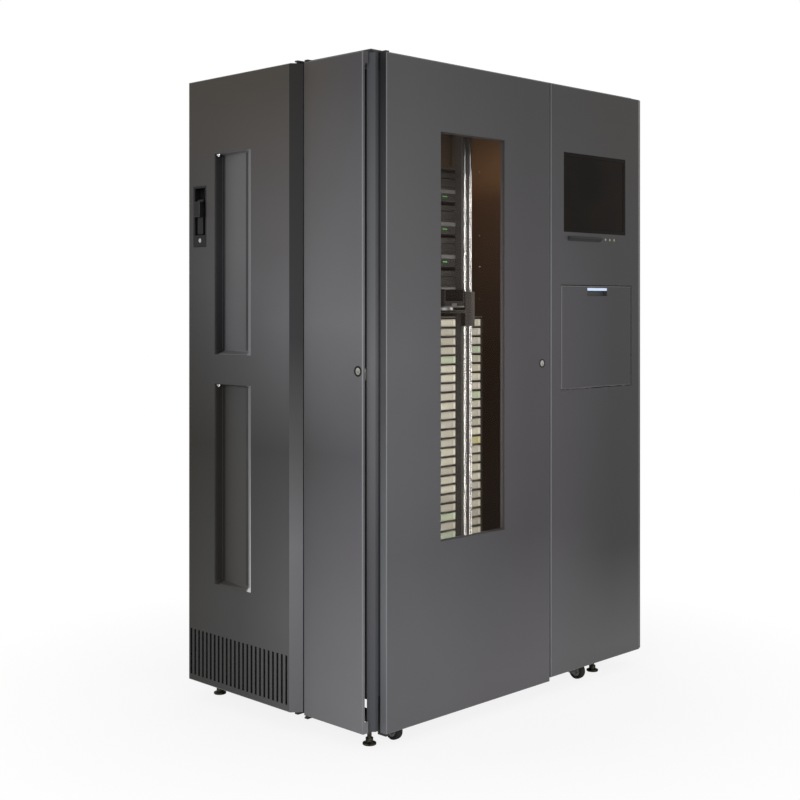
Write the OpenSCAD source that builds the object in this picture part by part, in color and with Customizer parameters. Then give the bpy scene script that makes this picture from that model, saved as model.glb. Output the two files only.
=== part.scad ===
// Data tape library: one floor-standing storage frame with its doors, cartridge
// racks, tape drives and the robot that carries the cartridges between them.
// Millimetres. +Z is up, the floor is z = 0, the operating front faces -Y.

/* [Cabinet] */
// overall width over the left and right side faces
case_w = 1228; // [1150:1:1400]
// overall depth, front face to rear face
case_d = 782; // [740:1:900]
// overall height, floor to roof
case_h = 1800; // [1750:1:2000]
// clear height between the floor and the doors
floor_gap = 48; // [46:1:60]
// thickness of the folded sheet
sheet = 2; // [1.5:0.1:3]
// seam between two leaves or panels
seam = 5; // [3:0.5:7]
// width of the sloped right-hand front edge
bevel_w = 27; // [15:1:40]
// depth of the sloped right-hand front edge
bevel_d = 12; // [6:1:20]
// flat that the front panel folds back along the right side
side_fold = 28; // [22:1:34]

/* [Frame] */
// side of the square frame posts and rails
post = 50; // [40:1:60]
// wall of the frame posts and rails
post_wall = 3; // [2:0.5:5]
// flat on the outer corner of each post
post_flat = 15; // [8:1:20]
// distance of the front posts behind the front face
front_set = 29; // [28:1:40]
// distance of the left posts inside the narrow side door's face
left_set = 26; // [24:1:36]
// depth of the fixed side and rear panels
panel_d = 24; // [18:1:30]
// underside of the base frame above the floor
base_z = 84; // [82:1:100]
// thickness of the floor pan
pan_t = 3; // [2:0.5:5]
// thickness of the roof sheet
roof_t = 3; // [2:0.5:5]
// height of the panel screws' heads
head_t = 2.5; // [2:0.5:4]
// gap left for the weld between frame members
weld = 0.2; // [0.1:0.05:0.4]

/* [Front door] */
// left edge of the front door, from the narrow side door's face
door_inset = 53; // [48:1:60]
// width of the front door
door_w = 671; // [600:1:700]
// depth of the front door
door_d = 22; // [18:1:24]
// space above and below the door leaves for the hinge arms
leaf_drop = 8; // [7:1:12]
// how far the front door hangs below the side doors
front_low = 4; // [2:1:8]
// how far the fixed panels end above the side doors
fixed_lift = 6; // [4:1:12]
// width of the window
window_w = 262; // [200:1:320]
// height of the window
window_h = 1093; // [900:1:1150]
// lower edge of the window above the floor
window_z = 513; // [450:1:560]
// thickness of the window pane
pane_t = 5; // [4:0.5:6]
// ledge that the pane rests against
pane_ledge = 9; // [6:1:12]
// height of the door locks above the floor
lock_z = 974; // [900:1:1050]
// radius of the lock barrels
lock_r = 9; // [7:0.5:11]
// distance of the front lock from the free edge of its door
lock_edge = 36; // [30:1:45]

/* [Side doors] */
// step from the narrow side door's face out to the wide one's
wide_step = 28; // [20:1:34]
// length of the wide door's sloped front edge
slope_l = 24; // [18:1:30]
// setback of the narrow door behind the front face
corner_set = 33; // [31:1:40]
// width of the narrow side door
narrow_w = 227; // [200:1:240]
// depth of the narrow side door
narrow_d = 20; // [18:1:22]
// gap between the two side doors
side_seam = 3; // [2.5:0.5:4]
// depth of the wide side door
wide_d = 40; // [36:1:44]
// distance of the wide door's rear edge from the rear face
rear_set = 46; // [40:1:60]
// extra height of the wide door's lower edge
wide_lift = 8; // [4:1:12]
// distance of the scoops behind the wide door's front edge
scoop_u = 187; // [150:1:200]
// distance of the scoops from the wide door's rear edge
scoop_back = 123; // [115:1:140]
// depth of each scoop at its rear edge
scoop_d = 26; // [16:1:30]
// width of the folded strip along each scoop's front edge
fold_w = 22; // [14:1:30]
// height of the upper scoop
scoop_h = 570; // [400:1:600]
// lower edge of the upper scoop above the floor
scoop_hi_z = 1003; // [960:1:1050]
// lower edge of the lower scoop above the floor
scoop_lo_z = 350; // [300:1:380]
// number of slits in the grille
slits = 24; // [16:1:25]
// distance of the first and last slit from the ends of the wide door's flat
slit_side = 8; // [6:0.5:12]
// width of each slit
slit_w = 9; // [6:0.5:11]
// height of each slit
slit_h = 132; // [100:1:140]
// lower edge of the slits above the door's lower edge
slit_z = 18; // [14:1:30]

/* [Swing latch] */
// width of the latch housing
latch_w = 61; // [50:1:70]
// height of the latch housing
latch_h = 175; // [160:1:190]
// distance of the latch housing from the wide door's rear edge
latch_edge = 23; // [15:1:30]
// lower edge of the latch housing above the floor
latch_z = 1310; // [1250:1:1350]
// depth of the latch housing
latch_deep = 24; // [20:1:30]
// width of the lever
lever_w = 26; // [20:1:32]
// length of the lever
lever_l = 94; // [80:1:98]
// thickness of the lever
lever_t = 12; // [9:1:14]

// distance that the latch's block stands out from the door
latch_out = 12; // [8:1:16]

/* [Display and input-output door] */
// distance that the small shelf under the display stands out
shelf_out = 10; // [6:1:14]
// distance of the display from the fixed panel's left edge
display_left = 61; // [54:1:70]
// distance of the display from the right face
display_right = 98; // [90:1:110]
// height of the display
display_h = 236; // [200:1:250]
// distance of the display below the top of the panels
display_drop = 196; // [170:1:210]
// distance of the lamps below the display
lamp_drop = 17; // [14:1:20]
// width of the frame around the display's glass
bezel = 11; // [6:1:16]
// distance of the opening for the input-output door from the fixed panel's left edge
io_left = 48; // [46:0.5:60]
// distance of that opening from the right face
io_right = 66; // [62:0.5:76]
// height of the opening for the input-output door
io_h = 312; // [300:1:330]
// distance of that opening below the display
io_drop = 157; // [130:1:180]
// depth of the input-output door
io_d = 18; // [14:1:20]
// gap around the input-output door
io_gap = 2.5; // [2.5:0.1:4]
// width of the lit finger recess
grip_w = 100; // [80:1:120]

/* [Cartridges, racks and drives] */
// width of a cartridge
cart_w = 105; // [100:1:106]
// thickness of a cartridge
cart_t = 21.5; // [20:0.1:22]
// length of a cartridge
cart_l = 102; // [98:1:104]
// pitch of the cartridges in a column
cart_pitch = 27.8; // [26:0.1:29]
// number of cartridges in a column
cart_rows = 32; // [20:1:33]
// pitch of the columns
col_pitch = 113; // [112:0.5:116]
// number of cartridge columns
cols = 4; // [3:1:4]
// right-hand edge of the racks, from the right face
rack_x = 443; // [416:1:466]
// face of the racks behind the front face
rack_y = 288; // [284:1:300]
// lowest shelf above the floor
rack_z = 214; // [190:1:230]
// thickness of shelves and rack walls
rack_t = 2.5; // [2:0.1:3]
// number of tape drives
drives = 4; // [2:1:4]
// pitch of the tape drives
drive_pitch = 98; // [92:1:104]
// width of a tape drive
drive_w = 146; // [140:1:150]
// height of a tape drive
drive_h = 84; // [80:1:86]
// length of a tape drive
drive_l = 205; // [190:1:220]
// height of the lowest drive above the racks
drive_lift = 54; // [40:1:60]
// cells in each input-output column
io_cells = 8; // [6:1:9]
// width of each power supply
supply_w = 110; // [90:1:112]
// height of each power supply
supply_h = 86; // [70:1:90]
// width of the controller box
control_w = 320; // [280:1:340]
// height of the controller box
control_h = 180; // [150:1:200]

/* [Robot] */
// distance of the robot's rails behind the front face
aisle_y = 188; // [186:1:192]
// width of the robot's rails
rail_w = 30; // [24:1:36]
// height of the robot's rails
rail_h = 22; // [18:1:28]
// mast position at rest, from the right face
mast_x = 649; // [616:1:676]
// width of the mast
mast_w = 34; // [28:1:40]
// depth of the mast
mast_d = 24; // [20:1:30]
// radius of the guide rods
rod_r = 4; // [3:0.5:5]
// length of the trucks on the rails
truck_l = 110; // [90:1:130]
// height of the gripper platform above the floor at rest
lift_z = 1128; // [1000:1:1200]
// height of the lift's slider on the guide rods
lift_h = 100; // [80:1:120]
// swing radius of the gripper
grip_r = 71; // [68:1:72]
// half width of the gripper's tray
grip_hw = 42; // [36:1:46]

/* [Casters and feet] */
// radius of the caster wheels
wheel_r = 25; // [22:0.5:26]
// width of the caster wheels
wheel_w = 22; // [18:1:24]
// trail of the casters
trail = 18; // [14:1:18]
// height of the wheels above the floor when the feet carry the load
wheel_lift = 2; // [1:0.5:4]
// distance of the caster pivots behind the front and rear faces
caster_y = 70; // [69:1:80]
// left caster pivots, from the left face
caster_xl = 160; // [158:1:170]
// right caster pivots, from the right face
caster_xr = 277; // [256:1:296]
// left feet, from the left face
foot_xl = 92; // [88:1:94]
// right feet, from the right face
foot_xr = 170; // [156:1:176]
// distance of the feet behind the front and rear faces
foot_y = 74; // [70:1:80]
// radius of the foot pads
pad_r = 18; // [15:1:19]
// radius of the foot screws
screw_r = 6; // [5:0.5:8]
// height of the threaded foot brackets
bracket_h = 22; // [18:1:26]

/* [Fits] */
// radial running clearance of pins and shafts
run = 0.05; // [0.02:0.01:0.1]
// gap between pieces that slide or pass each other
slip = 0.3; // [0.2:0.05:0.5]
// radius of the hinge pins
pin_r = 4; // [3:0.5:5]
// thickness of the hinge arms
arm_t = 4; // [3:0.5:4.5]

/* [Hidden] */
$fn = 48;
eps = 1;

// the case and its leaves
xl = -(case_w + latch_out) / 2 + latch_out;
xr = (case_w + latch_out) / 2;
yf = -(case_d + shelf_out) / 2 + shelf_out;
yr = (case_d + shelf_out) / 2;
pr = yr - head_t;
nx = xl + wide_step;
leaf_z0 = floor_gap;
leaf_z1 = case_h - leaf_drop;
front_z0 = leaf_z0 - front_low;
fix_z0 = leaf_z0 + fixed_lift;
door_x0 = nx + door_inset;
door_x1 = door_x0 + door_w;
fix_x0 = door_x1 + seam;
// the frame behind them
fx0 = nx + left_set;
fx1 = xr - panel_d;
fy0 = yf + front_set;
fy1 = yr - panel_d;
floor_z = base_z + post + pan_t;
top_z1 = case_h - roof_t;
top_z0 = top_z1 - post;
// the side doors
ny0 = yf + corner_set;
ny1 = ny0 + narrow_w;
wy0 = ny1 + side_seam;
wy1 = yr - rear_set;
wide_z0 = leaf_z0 + wide_lift;
wide_z1 = leaf_z1 - 3;
scoop_w = wy1 - scoop_back - wy0 - scoop_u;
slit_y = wy0 + slope_l + slit_side;
slit_pitch = (wy1 - slit_side - slit_w - slit_y) / (slits - 1);
// hinge axes
hinge_u = 9;
front_hx = door_x0 + hinge_u;
front_hy = yf + door_d / 2;
narrow_hx = nx + pin_r + sheet;
narrow_hy = ny1 - hinge_u;
wide_hx = xl + slope_l;
wide_hy = wy0 + 16;
mull_y0 = ny1 - 26;
// the window, locks and latch
win_x0 = (door_x0 + door_x1) / 2 - window_w / 2;
win_x1 = win_x0 + window_w;
win_z1 = window_z + window_h;
lock_x = door_x1 - lock_edge;
cam_l = lock_edge + seam + sheet + 4;
cam_t = 3;
nlock_y = ny0 + 17;
ncam_l = 24;
latch_y1 = wy1 - latch_edge;
latch_y0 = latch_y1 - latch_w;
latch_z1 = latch_z + latch_h;
latch_yc = (latch_y0 + latch_y1) / 2;
lever_pz = latch_z1 - 45;
lever_px = xl + 10;
// the display and the input-output unit
disp_x0 = fix_x0 + display_left;
disp_x1 = xr - display_right;
disp_xc = (disp_x0 + disp_x1) / 2;
disp_z1 = leaf_z1 - display_drop;
display_z = disp_z1 - display_h;
lamp_x = disp_xc + (disp_x1 - disp_xc) / 3;
lamp_pitch = (disp_x1 - disp_xc) / 7;
lamp_z = display_z - lamp_drop;
io_x0 = fix_x0 + io_left;
io_x1 = xr - io_right;
ux = (io_x0 + io_x1) / 2;
io_z1 = display_z - io_drop;
io_z = io_z1 - io_h;
io_py = yf + io_d / 2;
io_pz = io_z + io_gap + io_d / 2;
bay_y0 = yf + sheet;
bay_y1 = yf + io_d + 6 + cart_l + 4;
bay_z0 = io_z - 5;
bay_z1 = io_z1 + 3;
cell_pitch = (bay_z1 - bay_z0 - rack_t) / io_cells;
// racks and drives
rx1 = xr - rack_x;
ry0 = yf + rack_y;
rack_z1 = rack_z + cart_rows * cart_pitch + rack_t;
rx0 = rx1 - cols * col_pitch - rack_t;
ry1 = ry0 + cart_l + 4;
cage_x0 = rx1 - 2 * col_pitch + 18;
cage_x1 = cage_x0 + drive_w + 4 + 2 * rack_t;
cage_z0 = rack_z1 + drive_lift;
cage_z1 = cage_z0 + drives * drive_pitch + rack_t;
cage_y1 = ry0 + drive_l + 8;
// robot
ry = yf + aisle_y;
mx = xr - mast_x;
frail_z1 = floor_z + rail_h;
trail_z0 = top_z0 - rail_h;
truck_w = rail_w + 24;
truck_z1 = frail_z1 + 26;
top_truck_z0 = trail_z0 - 26;
rod_yy = ry - mast_d / 2 - rod_r - 4;
rod_dx = mast_w / 2 - rod_r - 1;
gx = mx - mast_w / 2 - 8 - grip_r;
grip_hl = sqrt(grip_r * grip_r - grip_hw * grip_hw) - 1;
table_z = lift_z + slip;
tray_z = table_z + 14;
// rear panels and the power inlet
rear_x0 = nx + 10;
rear_x1 = fx1 - seam;
rear_xm = (rear_x0 + rear_x1) / 2;
inlet_x = rear_x1 - 190;
inlet_w = 90;
inlet_z = floor_z + 14;
inlet_h = 50;
switch_x0 = inlet_x + 54;
switch_x1 = inlet_x + 78;
switch_r = 8.5;
switch_y = pr - 6;
switch_z = inlet_z + inlet_h / 2;
// casters and feet: [x, y] of each
casters = [[xl + caster_xl, yf + caster_y], [xr - caster_xr, yf + caster_y],
    [xl + caster_xl, yr - caster_y], [xr - caster_xr, yr - caster_y]];
feet = [[xl + foot_xl, yf + foot_y], [xr - foot_xr, yf + foot_y],
    [xl + foot_xl, yr - foot_y], [xr - foot_xr, yr - foot_y]];
wheel_z = wheel_r + wheel_lift;
fork_z = wheel_z + wheel_r + 4;
plate_t = 4;
king_r = 5;
axle_r = 3;

// one box from corner to corner
module box(a, b)
{
    translate(a)
        cube([b[0] - a[0], b[1] - a[1], b[2] - a[2]]);
}

// a folded pan in X and Z, open at +Y: skin at y = 0, returns d deep
module pan(w, d, h)
{
    difference()
    {
        cube([w, d, h]);
        translate([sheet, sheet, sheet])
            cube([w - 2 * sheet, d, h - 2 * sheet]);
    }
}

// a cylinder along +Y from y0 to y1
module rod_y(x, z, y0, y1, r)
{
    translate([x, y0, z])
        rotate([-90, 0, 0])
            cylinder(h = y1 - y0, r = r);
}

// a cylinder along +X from x0 to x1
module rod_x(y, z, x0, x1, r)
{
    translate([x0, y, z])
        rotate([0, 90, 0])
            cylinder(h = x1 - x0, r = r);
}

// C-section rail along X, its web on the -Y side when side is 1
module rail_cx(x0, x1, y0, z0, side)
{
    difference()
    {
        box([x0, y0, z0], [x1, y0 + post, z0 + post]);
        box([x0 - eps, side > 0 ? y0 + post_wall : y0 - eps, z0 + post_wall],
            [x1 + eps, side > 0 ? y0 + post + eps : y0 + post - post_wall,
            z0 + post - post_wall]);
    }
}

// C-section rail along Y, its web on the -X side when side is 1
module rail_cy(y0, y1, x0, z0, side)
{
    difference()
    {
        box([x0, y0, z0], [x0 + post, y1, z0 + post]);
        box([side > 0 ? x0 + post_wall : x0 - eps, y0 - eps, z0 + post_wall],
            [side > 0 ? x0 + post + eps : x0 + post - post_wall, y1 + eps,
            z0 + post - post_wall]);
    }
}

// a rectangular ring of rails with two cross rails
module rail_ring(z0)
{
    rail_cx(fx0, fx1, fy0, z0, 1);
    rail_cx(fx0, fx1, fy1 - post, z0, -1);
    rail_cy(fy0 + post + weld, fy1 - post - weld, fx0, z0, 1);
    rail_cy(fy0 + post + weld, fy1 - post - weld, fx1 - post, z0, -1);
    for (k = [1, 2])
        rail_cy(fy0 + post + weld, fy1 - post - weld,
            fx0 + (fx1 - fx0) * k / 3 - post / 2, z0, 1);
}

// prism that cuts the ring's front left corner to the posts' flat
module corner_cut(z0)
{
    translate([fx0, fy0, z0 - eps])
        linear_extrude(height = post + 2 * eps)
            polygon([[-eps, -eps], [post_flat + eps, -eps], [-eps, post_flat + eps]]);
}

module base_frame()
{
    color([0.24, 0.24, 0.25])
        difference()
        {
            rail_ring(base_z);
            corner_cut(base_z);
        }
}

module top_frame()
{
    color([0.24, 0.24, 0.25])
        difference()
        {
            rail_ring(top_z0);
            corner_cut(top_z0);
        }
}

// one post tube, its outer corner flattened, standing at its lower left corner
module post_tube(h)
{
    difference()
    {
        linear_extrude(height = h)
            polygon([[post_flat, 0], [post, 0], [post, post], [0, post], [0, post_flat]]);
        translate([post_wall, post_wall, -eps])
            linear_extrude(height = h + 2 * eps)
                polygon([[post_flat, 0], [post - 2 * post_wall, 0],
                    [post - 2 * post_wall, post - 2 * post_wall],
                    [0, post - 2 * post_wall], [0, post_flat]]);
    }
}

// strip over the flat of the front left post, with a wing on its front face
module corner_trim()
{
    t = weld + sheet;
    k = 1 / sqrt(2);
    translate([fx0, fy0, leaf_z0])
        linear_extrude(height = leaf_z1 - leaf_z0)
            polygon([[post_flat + 8, -weld], [post_flat + weld - 2 * k * weld, -weld],
                [-k * weld, post_flat - k * weld], [-k * t, post_flat - k * t],
                [post_flat + t - 2 * k * t, -t], [post_flat + 8, -t]]);
}

module frame_posts()
{
    h = top_z0 - floor_z;
    color([0.34, 0.34, 0.35])
    {
        translate([fx0, fy0, floor_z])
            post_tube(h);
        translate([fx1, bay_y1 + 2, floor_z])
            mirror([1, 0, 0])
                post_tube(h);
        translate([fx0, fy1, floor_z])
            mirror([0, 1, 0])
                post_tube(h);
        translate([fx1, fy1, floor_z])
            rotate([0, 0, 180])
                post_tube(h);
        difference()
        {
            box([fx0, mull_y0, floor_z], [fx0 + post, mull_y0 + post, top_z0]);
            box([fx0 + post_wall, mull_y0 + post_wall, floor_z - eps],
                [fx0 + post - post_wall, mull_y0 + post - post_wall, top_z0 + eps]);
        }
        corner_trim();
    }
}

module floor_pan()
{
    color([0.3, 0.3, 0.31])
        difference()
        {
            box([fx0, fy0, floor_z - pan_t], [fx1, fy1, floor_z]);
            corner_cut(floor_z - pan_t);
        }
}

module roof_cover()
{
    color([0.3, 0.3, 0.31])
        difference()
        {
            box([fx0, fy0, top_z1], [fx1, fy1, case_h]);
            for (k = [0:11])
                box([fx0 + 150 + k * 30, fy1 - 260, top_z1 - eps],
                    [fx0 + 162 + k * 30, fy1 - 100, case_h + eps]);
        }
}

module right_side_panel()
{
    y0 = yf + bevel_d + side_fold + seam;
    color([0.36, 0.36, 0.37])
        difference()
        {
            box([xr - panel_d, y0, fix_z0], [xr, yr, leaf_z1]);
            box([xr - panel_d - eps, y0 + sheet, fix_z0 + sheet],
                [xr - sheet, yr - sheet, leaf_z1 - sheet]);
        }
}

// fixed front panel: a skin that slopes and folds round the right-hand corner
module front_fixed_panel()
{
    y1 = yf + bevel_d + side_fold;
    h = leaf_z1 - fix_z0;
    color([0.36, 0.36, 0.37])
    {
        difference()
        {
            union()
            {
                translate([0, 0, fix_z0])
                    linear_extrude(height = h)
                        polygon([[fix_x0, yf], [xr - bevel_w, yf], [xr, yf + bevel_d],
                            [xr, y1], [xr - sheet, y1], [xr - sheet, yf + bevel_d + sheet],
                            [xr - bevel_w, yf + sheet], [fix_x0 + sheet, yf + sheet],
                            [fix_x0 + sheet, fy0], [fix_x0, fy0]]);
                for (z = [fix_z0, leaf_z1 - sheet])
                    translate([0, 0, z])
                        linear_extrude(height = sheet)
                            polygon([[fix_x0, yf], [xr - bevel_w, yf], [xr, yf + bevel_d],
                                [xr, y1], [fx1, y1], [fx1, fy0], [fix_x0, fy0]]);
            }
            box([disp_x0, yf - eps, display_z], [disp_x1, yf + sheet + eps, disp_z1]);
            box([io_x0, yf - eps, io_z], [io_x1, yf + sheet + eps, io_z1]);
            box([fix_x0 - eps, yf + door_d, lock_z - cam_l * 0.66],
                [fix_x0 + sheet + eps, fy0 + eps, lock_z + 9]);
            for (k = [0:2])
                rod_y(lamp_x + lamp_pitch * k, lamp_z, yf - eps, yf + sheet + eps, 4);
        }
        translate([disp_x0 + 20, yf, lamp_z - 9])
            rotate([90, 0, 90])
                linear_extrude(height = disp_xc - disp_x0 + 4)
                    polygon([[0, 0], [0, 14], [-3, 14], [-10, 11], [-10, 9], [-3, 3]]);
    }
}

// two vented rear panels
module rear_panels()
{
    color([0.3, 0.3, 0.31])
        difference()
        {
            for (s = [[rear_x0, rear_xm - seam / 2], [rear_xm + seam / 2, rear_x1]])
                translate([s[1], pr, leaf_z0])
                    rotate([0, 0, 180])
                        pan(s[1] - s[0], pr - fy1, leaf_z1 - leaf_z0);
            for (s = [rear_x0, rear_xm + seam / 2], k = [0:19], z = [360, 1240])
                box([s + 90 + k * 19, pr - sheet - eps, z], [s + 99 + k * 19, pr + eps, z + 260]);
            box([inlet_x, pr - sheet - eps, inlet_z],
                [inlet_x + inlet_w, pr + eps, inlet_z + inlet_h]);
        }
}

module panel_screws()
{
    color([0.7, 0.7, 0.7])
        for (x = [rear_x0 + 16, rear_xm - 18, rear_xm + 18, rear_x1 - 16],
            z = [leaf_z0 + 30, lock_z, leaf_z1 - 30])
            rod_y(x, z, pr, yr, 5);
}

// power inlet with its switch: a housing in a cut-out, its flange behind the sheet
module power_inlet()
{
    y0 = pr - 34;
    color([0.08, 0.08, 0.08])
        difference()
        {
            union()
            {
                box([inlet_x + slip, y0, inlet_z + slip],
                    [inlet_x + inlet_w - slip, pr, inlet_z + inlet_h - slip]);
                box([inlet_x - 6, pr - sheet - 3, inlet_z - 6],
                    [inlet_x + inlet_w + 6, pr - sheet, inlet_z + inlet_h + 6]);
            }
            difference()
            {
                box([inlet_x + 8, pr - 22, inlet_z + 12],
                    [inlet_x + 40, pr + eps, inlet_z + inlet_h - 12]);
                for (k = [-1, 0, 1])
                    box([inlet_x + 23 + 8 * k, pr - 23, inlet_z + 24 - 3 * abs(k)],
                        [inlet_x + 25 + 8 * k, pr - 15, inlet_z + 30 - 3 * abs(k)]);
            }
            rod_x(switch_y, switch_z, switch_x0 - slip, switch_x1 + slip, switch_r + slip);
            rod_x(switch_y, switch_z, switch_x0 - 3.5, switch_x1 + 3.5, 2 + run);
        }
}

module power_switch()
{
    color([0.6, 0.1, 0.08])
    {
        difference()
        {
            rod_x(switch_y, switch_z, switch_x0, switch_x1, switch_r);
            box([switch_x0 - eps, switch_y + switch_r - 2.5, switch_z - 12],
                [switch_x1 + eps, switch_y + switch_r + eps, switch_z + 12]);
        }
        rod_x(switch_y, switch_z, switch_x0 - 3, switch_x1 + 3, 2);
    }
}

// top and bottom arms of one door: the arms run along +Y, legs hang inside the frame
module arms_y(px, py, z0, z1)
{
    w = pin_r + 2;
    box([px - w, py - w, top_z1 - arm_t], [px + w, fy0, top_z1]);
    translate([px, py, z1 - 12])
        cylinder(h = top_z1 - arm_t - z1 + 12, r = pin_r);
    box([px - w, py - w, z0 - 3 - arm_t], [px + w, fy0 + 6, z0 - 3]);
    box([px - w, fy0, z0 - 3 - arm_t], [px + w, fy0 + 6, base_z]);
    translate([px, py, z0 - 3])
        cylinder(h = 3 - slip, r = w);
    translate([px, py, z0 - 3])
        cylinder(h = 15, r = pin_r);
}

// the same with the arms along +X
module arms_x(px, py, z0, z1)
{
    w = pin_r + 2;
    box([px - w, py - w, top_z1 - arm_t], [fx0, py + w, top_z1]);
    translate([px, py, z1 - 12])
        cylinder(h = top_z1 - arm_t - z1 + 12, r = pin_r);
    box([px - w, py - w, z0 - 3 - arm_t], [fx0 + 6, py + w, z0 - 3]);
    box([fx0, py - w, z0 - 3 - arm_t], [fx0 + 6, py + w, base_z]);
    translate([px, py, z0 - 3])
        cylinder(h = 3 - slip, r = w);
    translate([px, py, z0 - 3])
        cylinder(h = 15, r = pin_r);
}

module door_hinges()
{
    color([0.5, 0.5, 0.5])
    {
        arms_y(front_hx, front_hy, front_z0, leaf_z1);
        arms_x(narrow_hx, narrow_hy, leaf_z0, leaf_z1);
        arms_x(wide_hx, wide_hy, wide_z0, wide_z1);
        box([nx + 14.5, nlock_y + 13, lock_z - 10], [nx + 17.5, nlock_y + 29, lock_z + 10]);
        box([nx + 14.5, nlock_y + 26, lock_z - 10], [fx0, nlock_y + 29, lock_z + 10]);
    }
}

module rack_walls()
{
    color([0.22, 0.21, 0.2])
        for (k = [0:cols])
            box([rx1 - k * col_pitch - rack_t, ry0 + 3, floor_z],
                [rx1 - k * col_pitch, ry1, rack_z1]);
}

module rack_shelves()
{
    color([0.24, 0.23, 0.22])
        for (c = [0:cols - 1], k = [0:cart_rows])
            box([rx1 - (c + 1) * col_pitch, ry0 + 5, rack_z + k * cart_pitch],
                [rx1 - c * col_pitch - rack_t, ry1, rack_z + k * cart_pitch + rack_t]);
}

// one cartridge: a shell with a stepped grip at its open end
module cartridge()
{
    difference()
    {
        cube([cart_w, cart_l, cart_t]);
        translate([-eps, -eps, -eps])
            cube([7, 9, cart_t + 2 * eps]);
        translate([cart_w - 6, -eps, -eps])
            cube([7, 9, cart_t + 2 * eps]);
        translate([12, -eps, cart_t / 2 - 5.5])
            cube([cart_w - 24, 1.6, 11]);
    }
}

module cartridge_column(c)
{
    for (k = [0:cart_rows - 1])
        translate([rx1 - (c + 1) * col_pitch + (col_pitch - rack_t - cart_w) / 2, ry0,
            rack_z + k * cart_pitch + rack_t])
            cartridge();
}

module cartridges_a()
{
    color([0.6, 0.6, 0.57])
        cartridge_column(0);
}

module cartridges_b()
{
    color([0.6, 0.6, 0.57])
        cartridge_column(1);
}

module cartridges_c()
{
    color([0.6, 0.6, 0.57])
        for (c = [2:cols - 1])
            cartridge_column(c);
}

module drive_cage()
{
    color([0.12, 0.12, 0.12])
    {
        box([rx0, ry0 + 3, rack_z1], [rx1, cage_y1, rack_z1 + rack_t]);
        for (x = [cage_x0, cage_x1 - rack_t])
            box([x, ry0 + 3, rack_z1 + rack_t], [x + rack_t, cage_y1, cage_z1]);
        for (k = [0:drives])
            box([cage_x0 + rack_t, ry0, cage_z0 + k * drive_pitch],
                [cage_x1 - rack_t, cage_y1, cage_z0 + k * drive_pitch + rack_t]);
    }
}

module tape_drives()
{
    color([0.1, 0.1, 0.1])
        for (k = [0:drives - 1])
            translate([cage_x0 + rack_t + 2, ry0 + 2, cage_z0 + k * drive_pitch + rack_t])
                difference()
                {
                    cube([drive_w, drive_l, drive_h]);
                    translate([(drive_w - 110) / 2, -eps, 40])
                        cube([110, 31, 27]);
                }
}

module power_supplies()
{
    color([0.45, 0.45, 0.46])
        for (k = [0:2])
            box([fx0 + 70 + k * (supply_w + 8), ry1 + 60, floor_z],
                [fx0 + 70 + supply_w + k * (supply_w + 8), fy1 - 30, floor_z + supply_h]);
}

module controller_box()
{
    color([0.3, 0.3, 0.31])
        box([fx1 - 120 - control_w, ry1 + 60, floor_z],
            [fx1 - 120, fy1 - 60, floor_z + control_h]);
}

module robot_top_rail()
{
    color([0.6, 0.6, 0.62])
        box([fx0 + 8, ry - rail_w / 2, trail_z0],
            [fx1 - post - 4, ry + rail_w / 2, top_z0]);
}

module robot_floor_rail()
{
    color([0.6, 0.6, 0.62])
        box([fx0 + 8, ry - rail_w / 2, floor_z],
            [fx1 - post - 4, ry + rail_w / 2, frail_z1]);
}

module robot_mast()
{
    c = rail_w / 2 + slip;
    color([0.35, 0.35, 0.36])
    {
        difference()
        {
            box([mx - truck_l / 2, ry - truck_w / 2, floor_z + 3],
                [mx + truck_l / 2, ry + truck_w / 2, truck_z1]);
            box([mx - truck_l / 2 - eps, ry - c, floor_z],
                [mx + truck_l / 2 + eps, ry + c, frail_z1 + slip]);
        }
        difference()
        {
            box([mx - mast_w / 2, ry - mast_d / 2, truck_z1],
                [mx + mast_w / 2, ry + mast_d / 2, top_truck_z0]);
            box([mx - 5, ry + mast_d / 2 - 8, truck_z1 - eps],
                [mx + 5, ry + mast_d / 2 + eps, top_truck_z0 + eps]);
        }
        difference()
        {
            box([mx - truck_l / 2, ry - truck_w / 2, top_truck_z0],
                [mx + truck_l / 2, ry + truck_w / 2, top_z0 - 3]);
            box([mx - truck_l / 2 - eps, ry - c, trail_z0 - slip],
                [mx + truck_l / 2 + eps, ry + c, top_z0]);
        }
    }
}

module mast_guide_rods()
{
    color([0.8, 0.8, 0.82])
        for (s = [-1, 1])
            translate([mx + s * rod_dx, rod_yy, truck_z1])
                cylinder(h = top_truck_z0 - truck_z1, r = rod_r);
}

module lift_carriage()
{
    color([0.2, 0.2, 0.21])
        difference()
        {
            union()
            {
                box([mx - mast_w / 2 - 4, rod_yy - 10, lift_z - lift_h * 0.46],
                    [mx + mast_w / 2 + 4, ry - mast_d / 2 - slip, lift_z + lift_h * 0.54]);
                box([gx - 34, rod_yy - 10, lift_z - 8],
                    [mx - mast_w / 2 - 4, ry + 34, lift_z]);
            }
            for (s = [-1, 1])
                translate([mx + s * rod_dx, rod_yy, lift_z - lift_h * 0.46 - eps])
                    cylinder(h = lift_h + 2 * eps, r = rod_r + run);
            translate([gx, ry, lift_z - 8 - eps])
                cylinder(h = 8 + 2 * eps, r = 8 + run);
        }
}

module gripper_turntable()
{
    color([0.5, 0.5, 0.52])
        difference()
        {
            union()
            {
                translate([gx, ry, lift_z - 8])
                    cylinder(h = 9, r = 8);
                translate([gx, ry, table_z])
                    cylinder(h = 8, r = 38);
                box([gx - grip_hw, ry - grip_hl, table_z + 8],
                    [gx + grip_hw, ry + grip_hl, table_z + 12]);
                box([gx - 10, ry - grip_hl, table_z + 12],
                    [gx + 10, ry + grip_hl, table_z + 20]);
            }
            translate([gx, ry, lift_z - 8 - eps])
                cylinder(h = 6, r = 3);
        }
}

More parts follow.
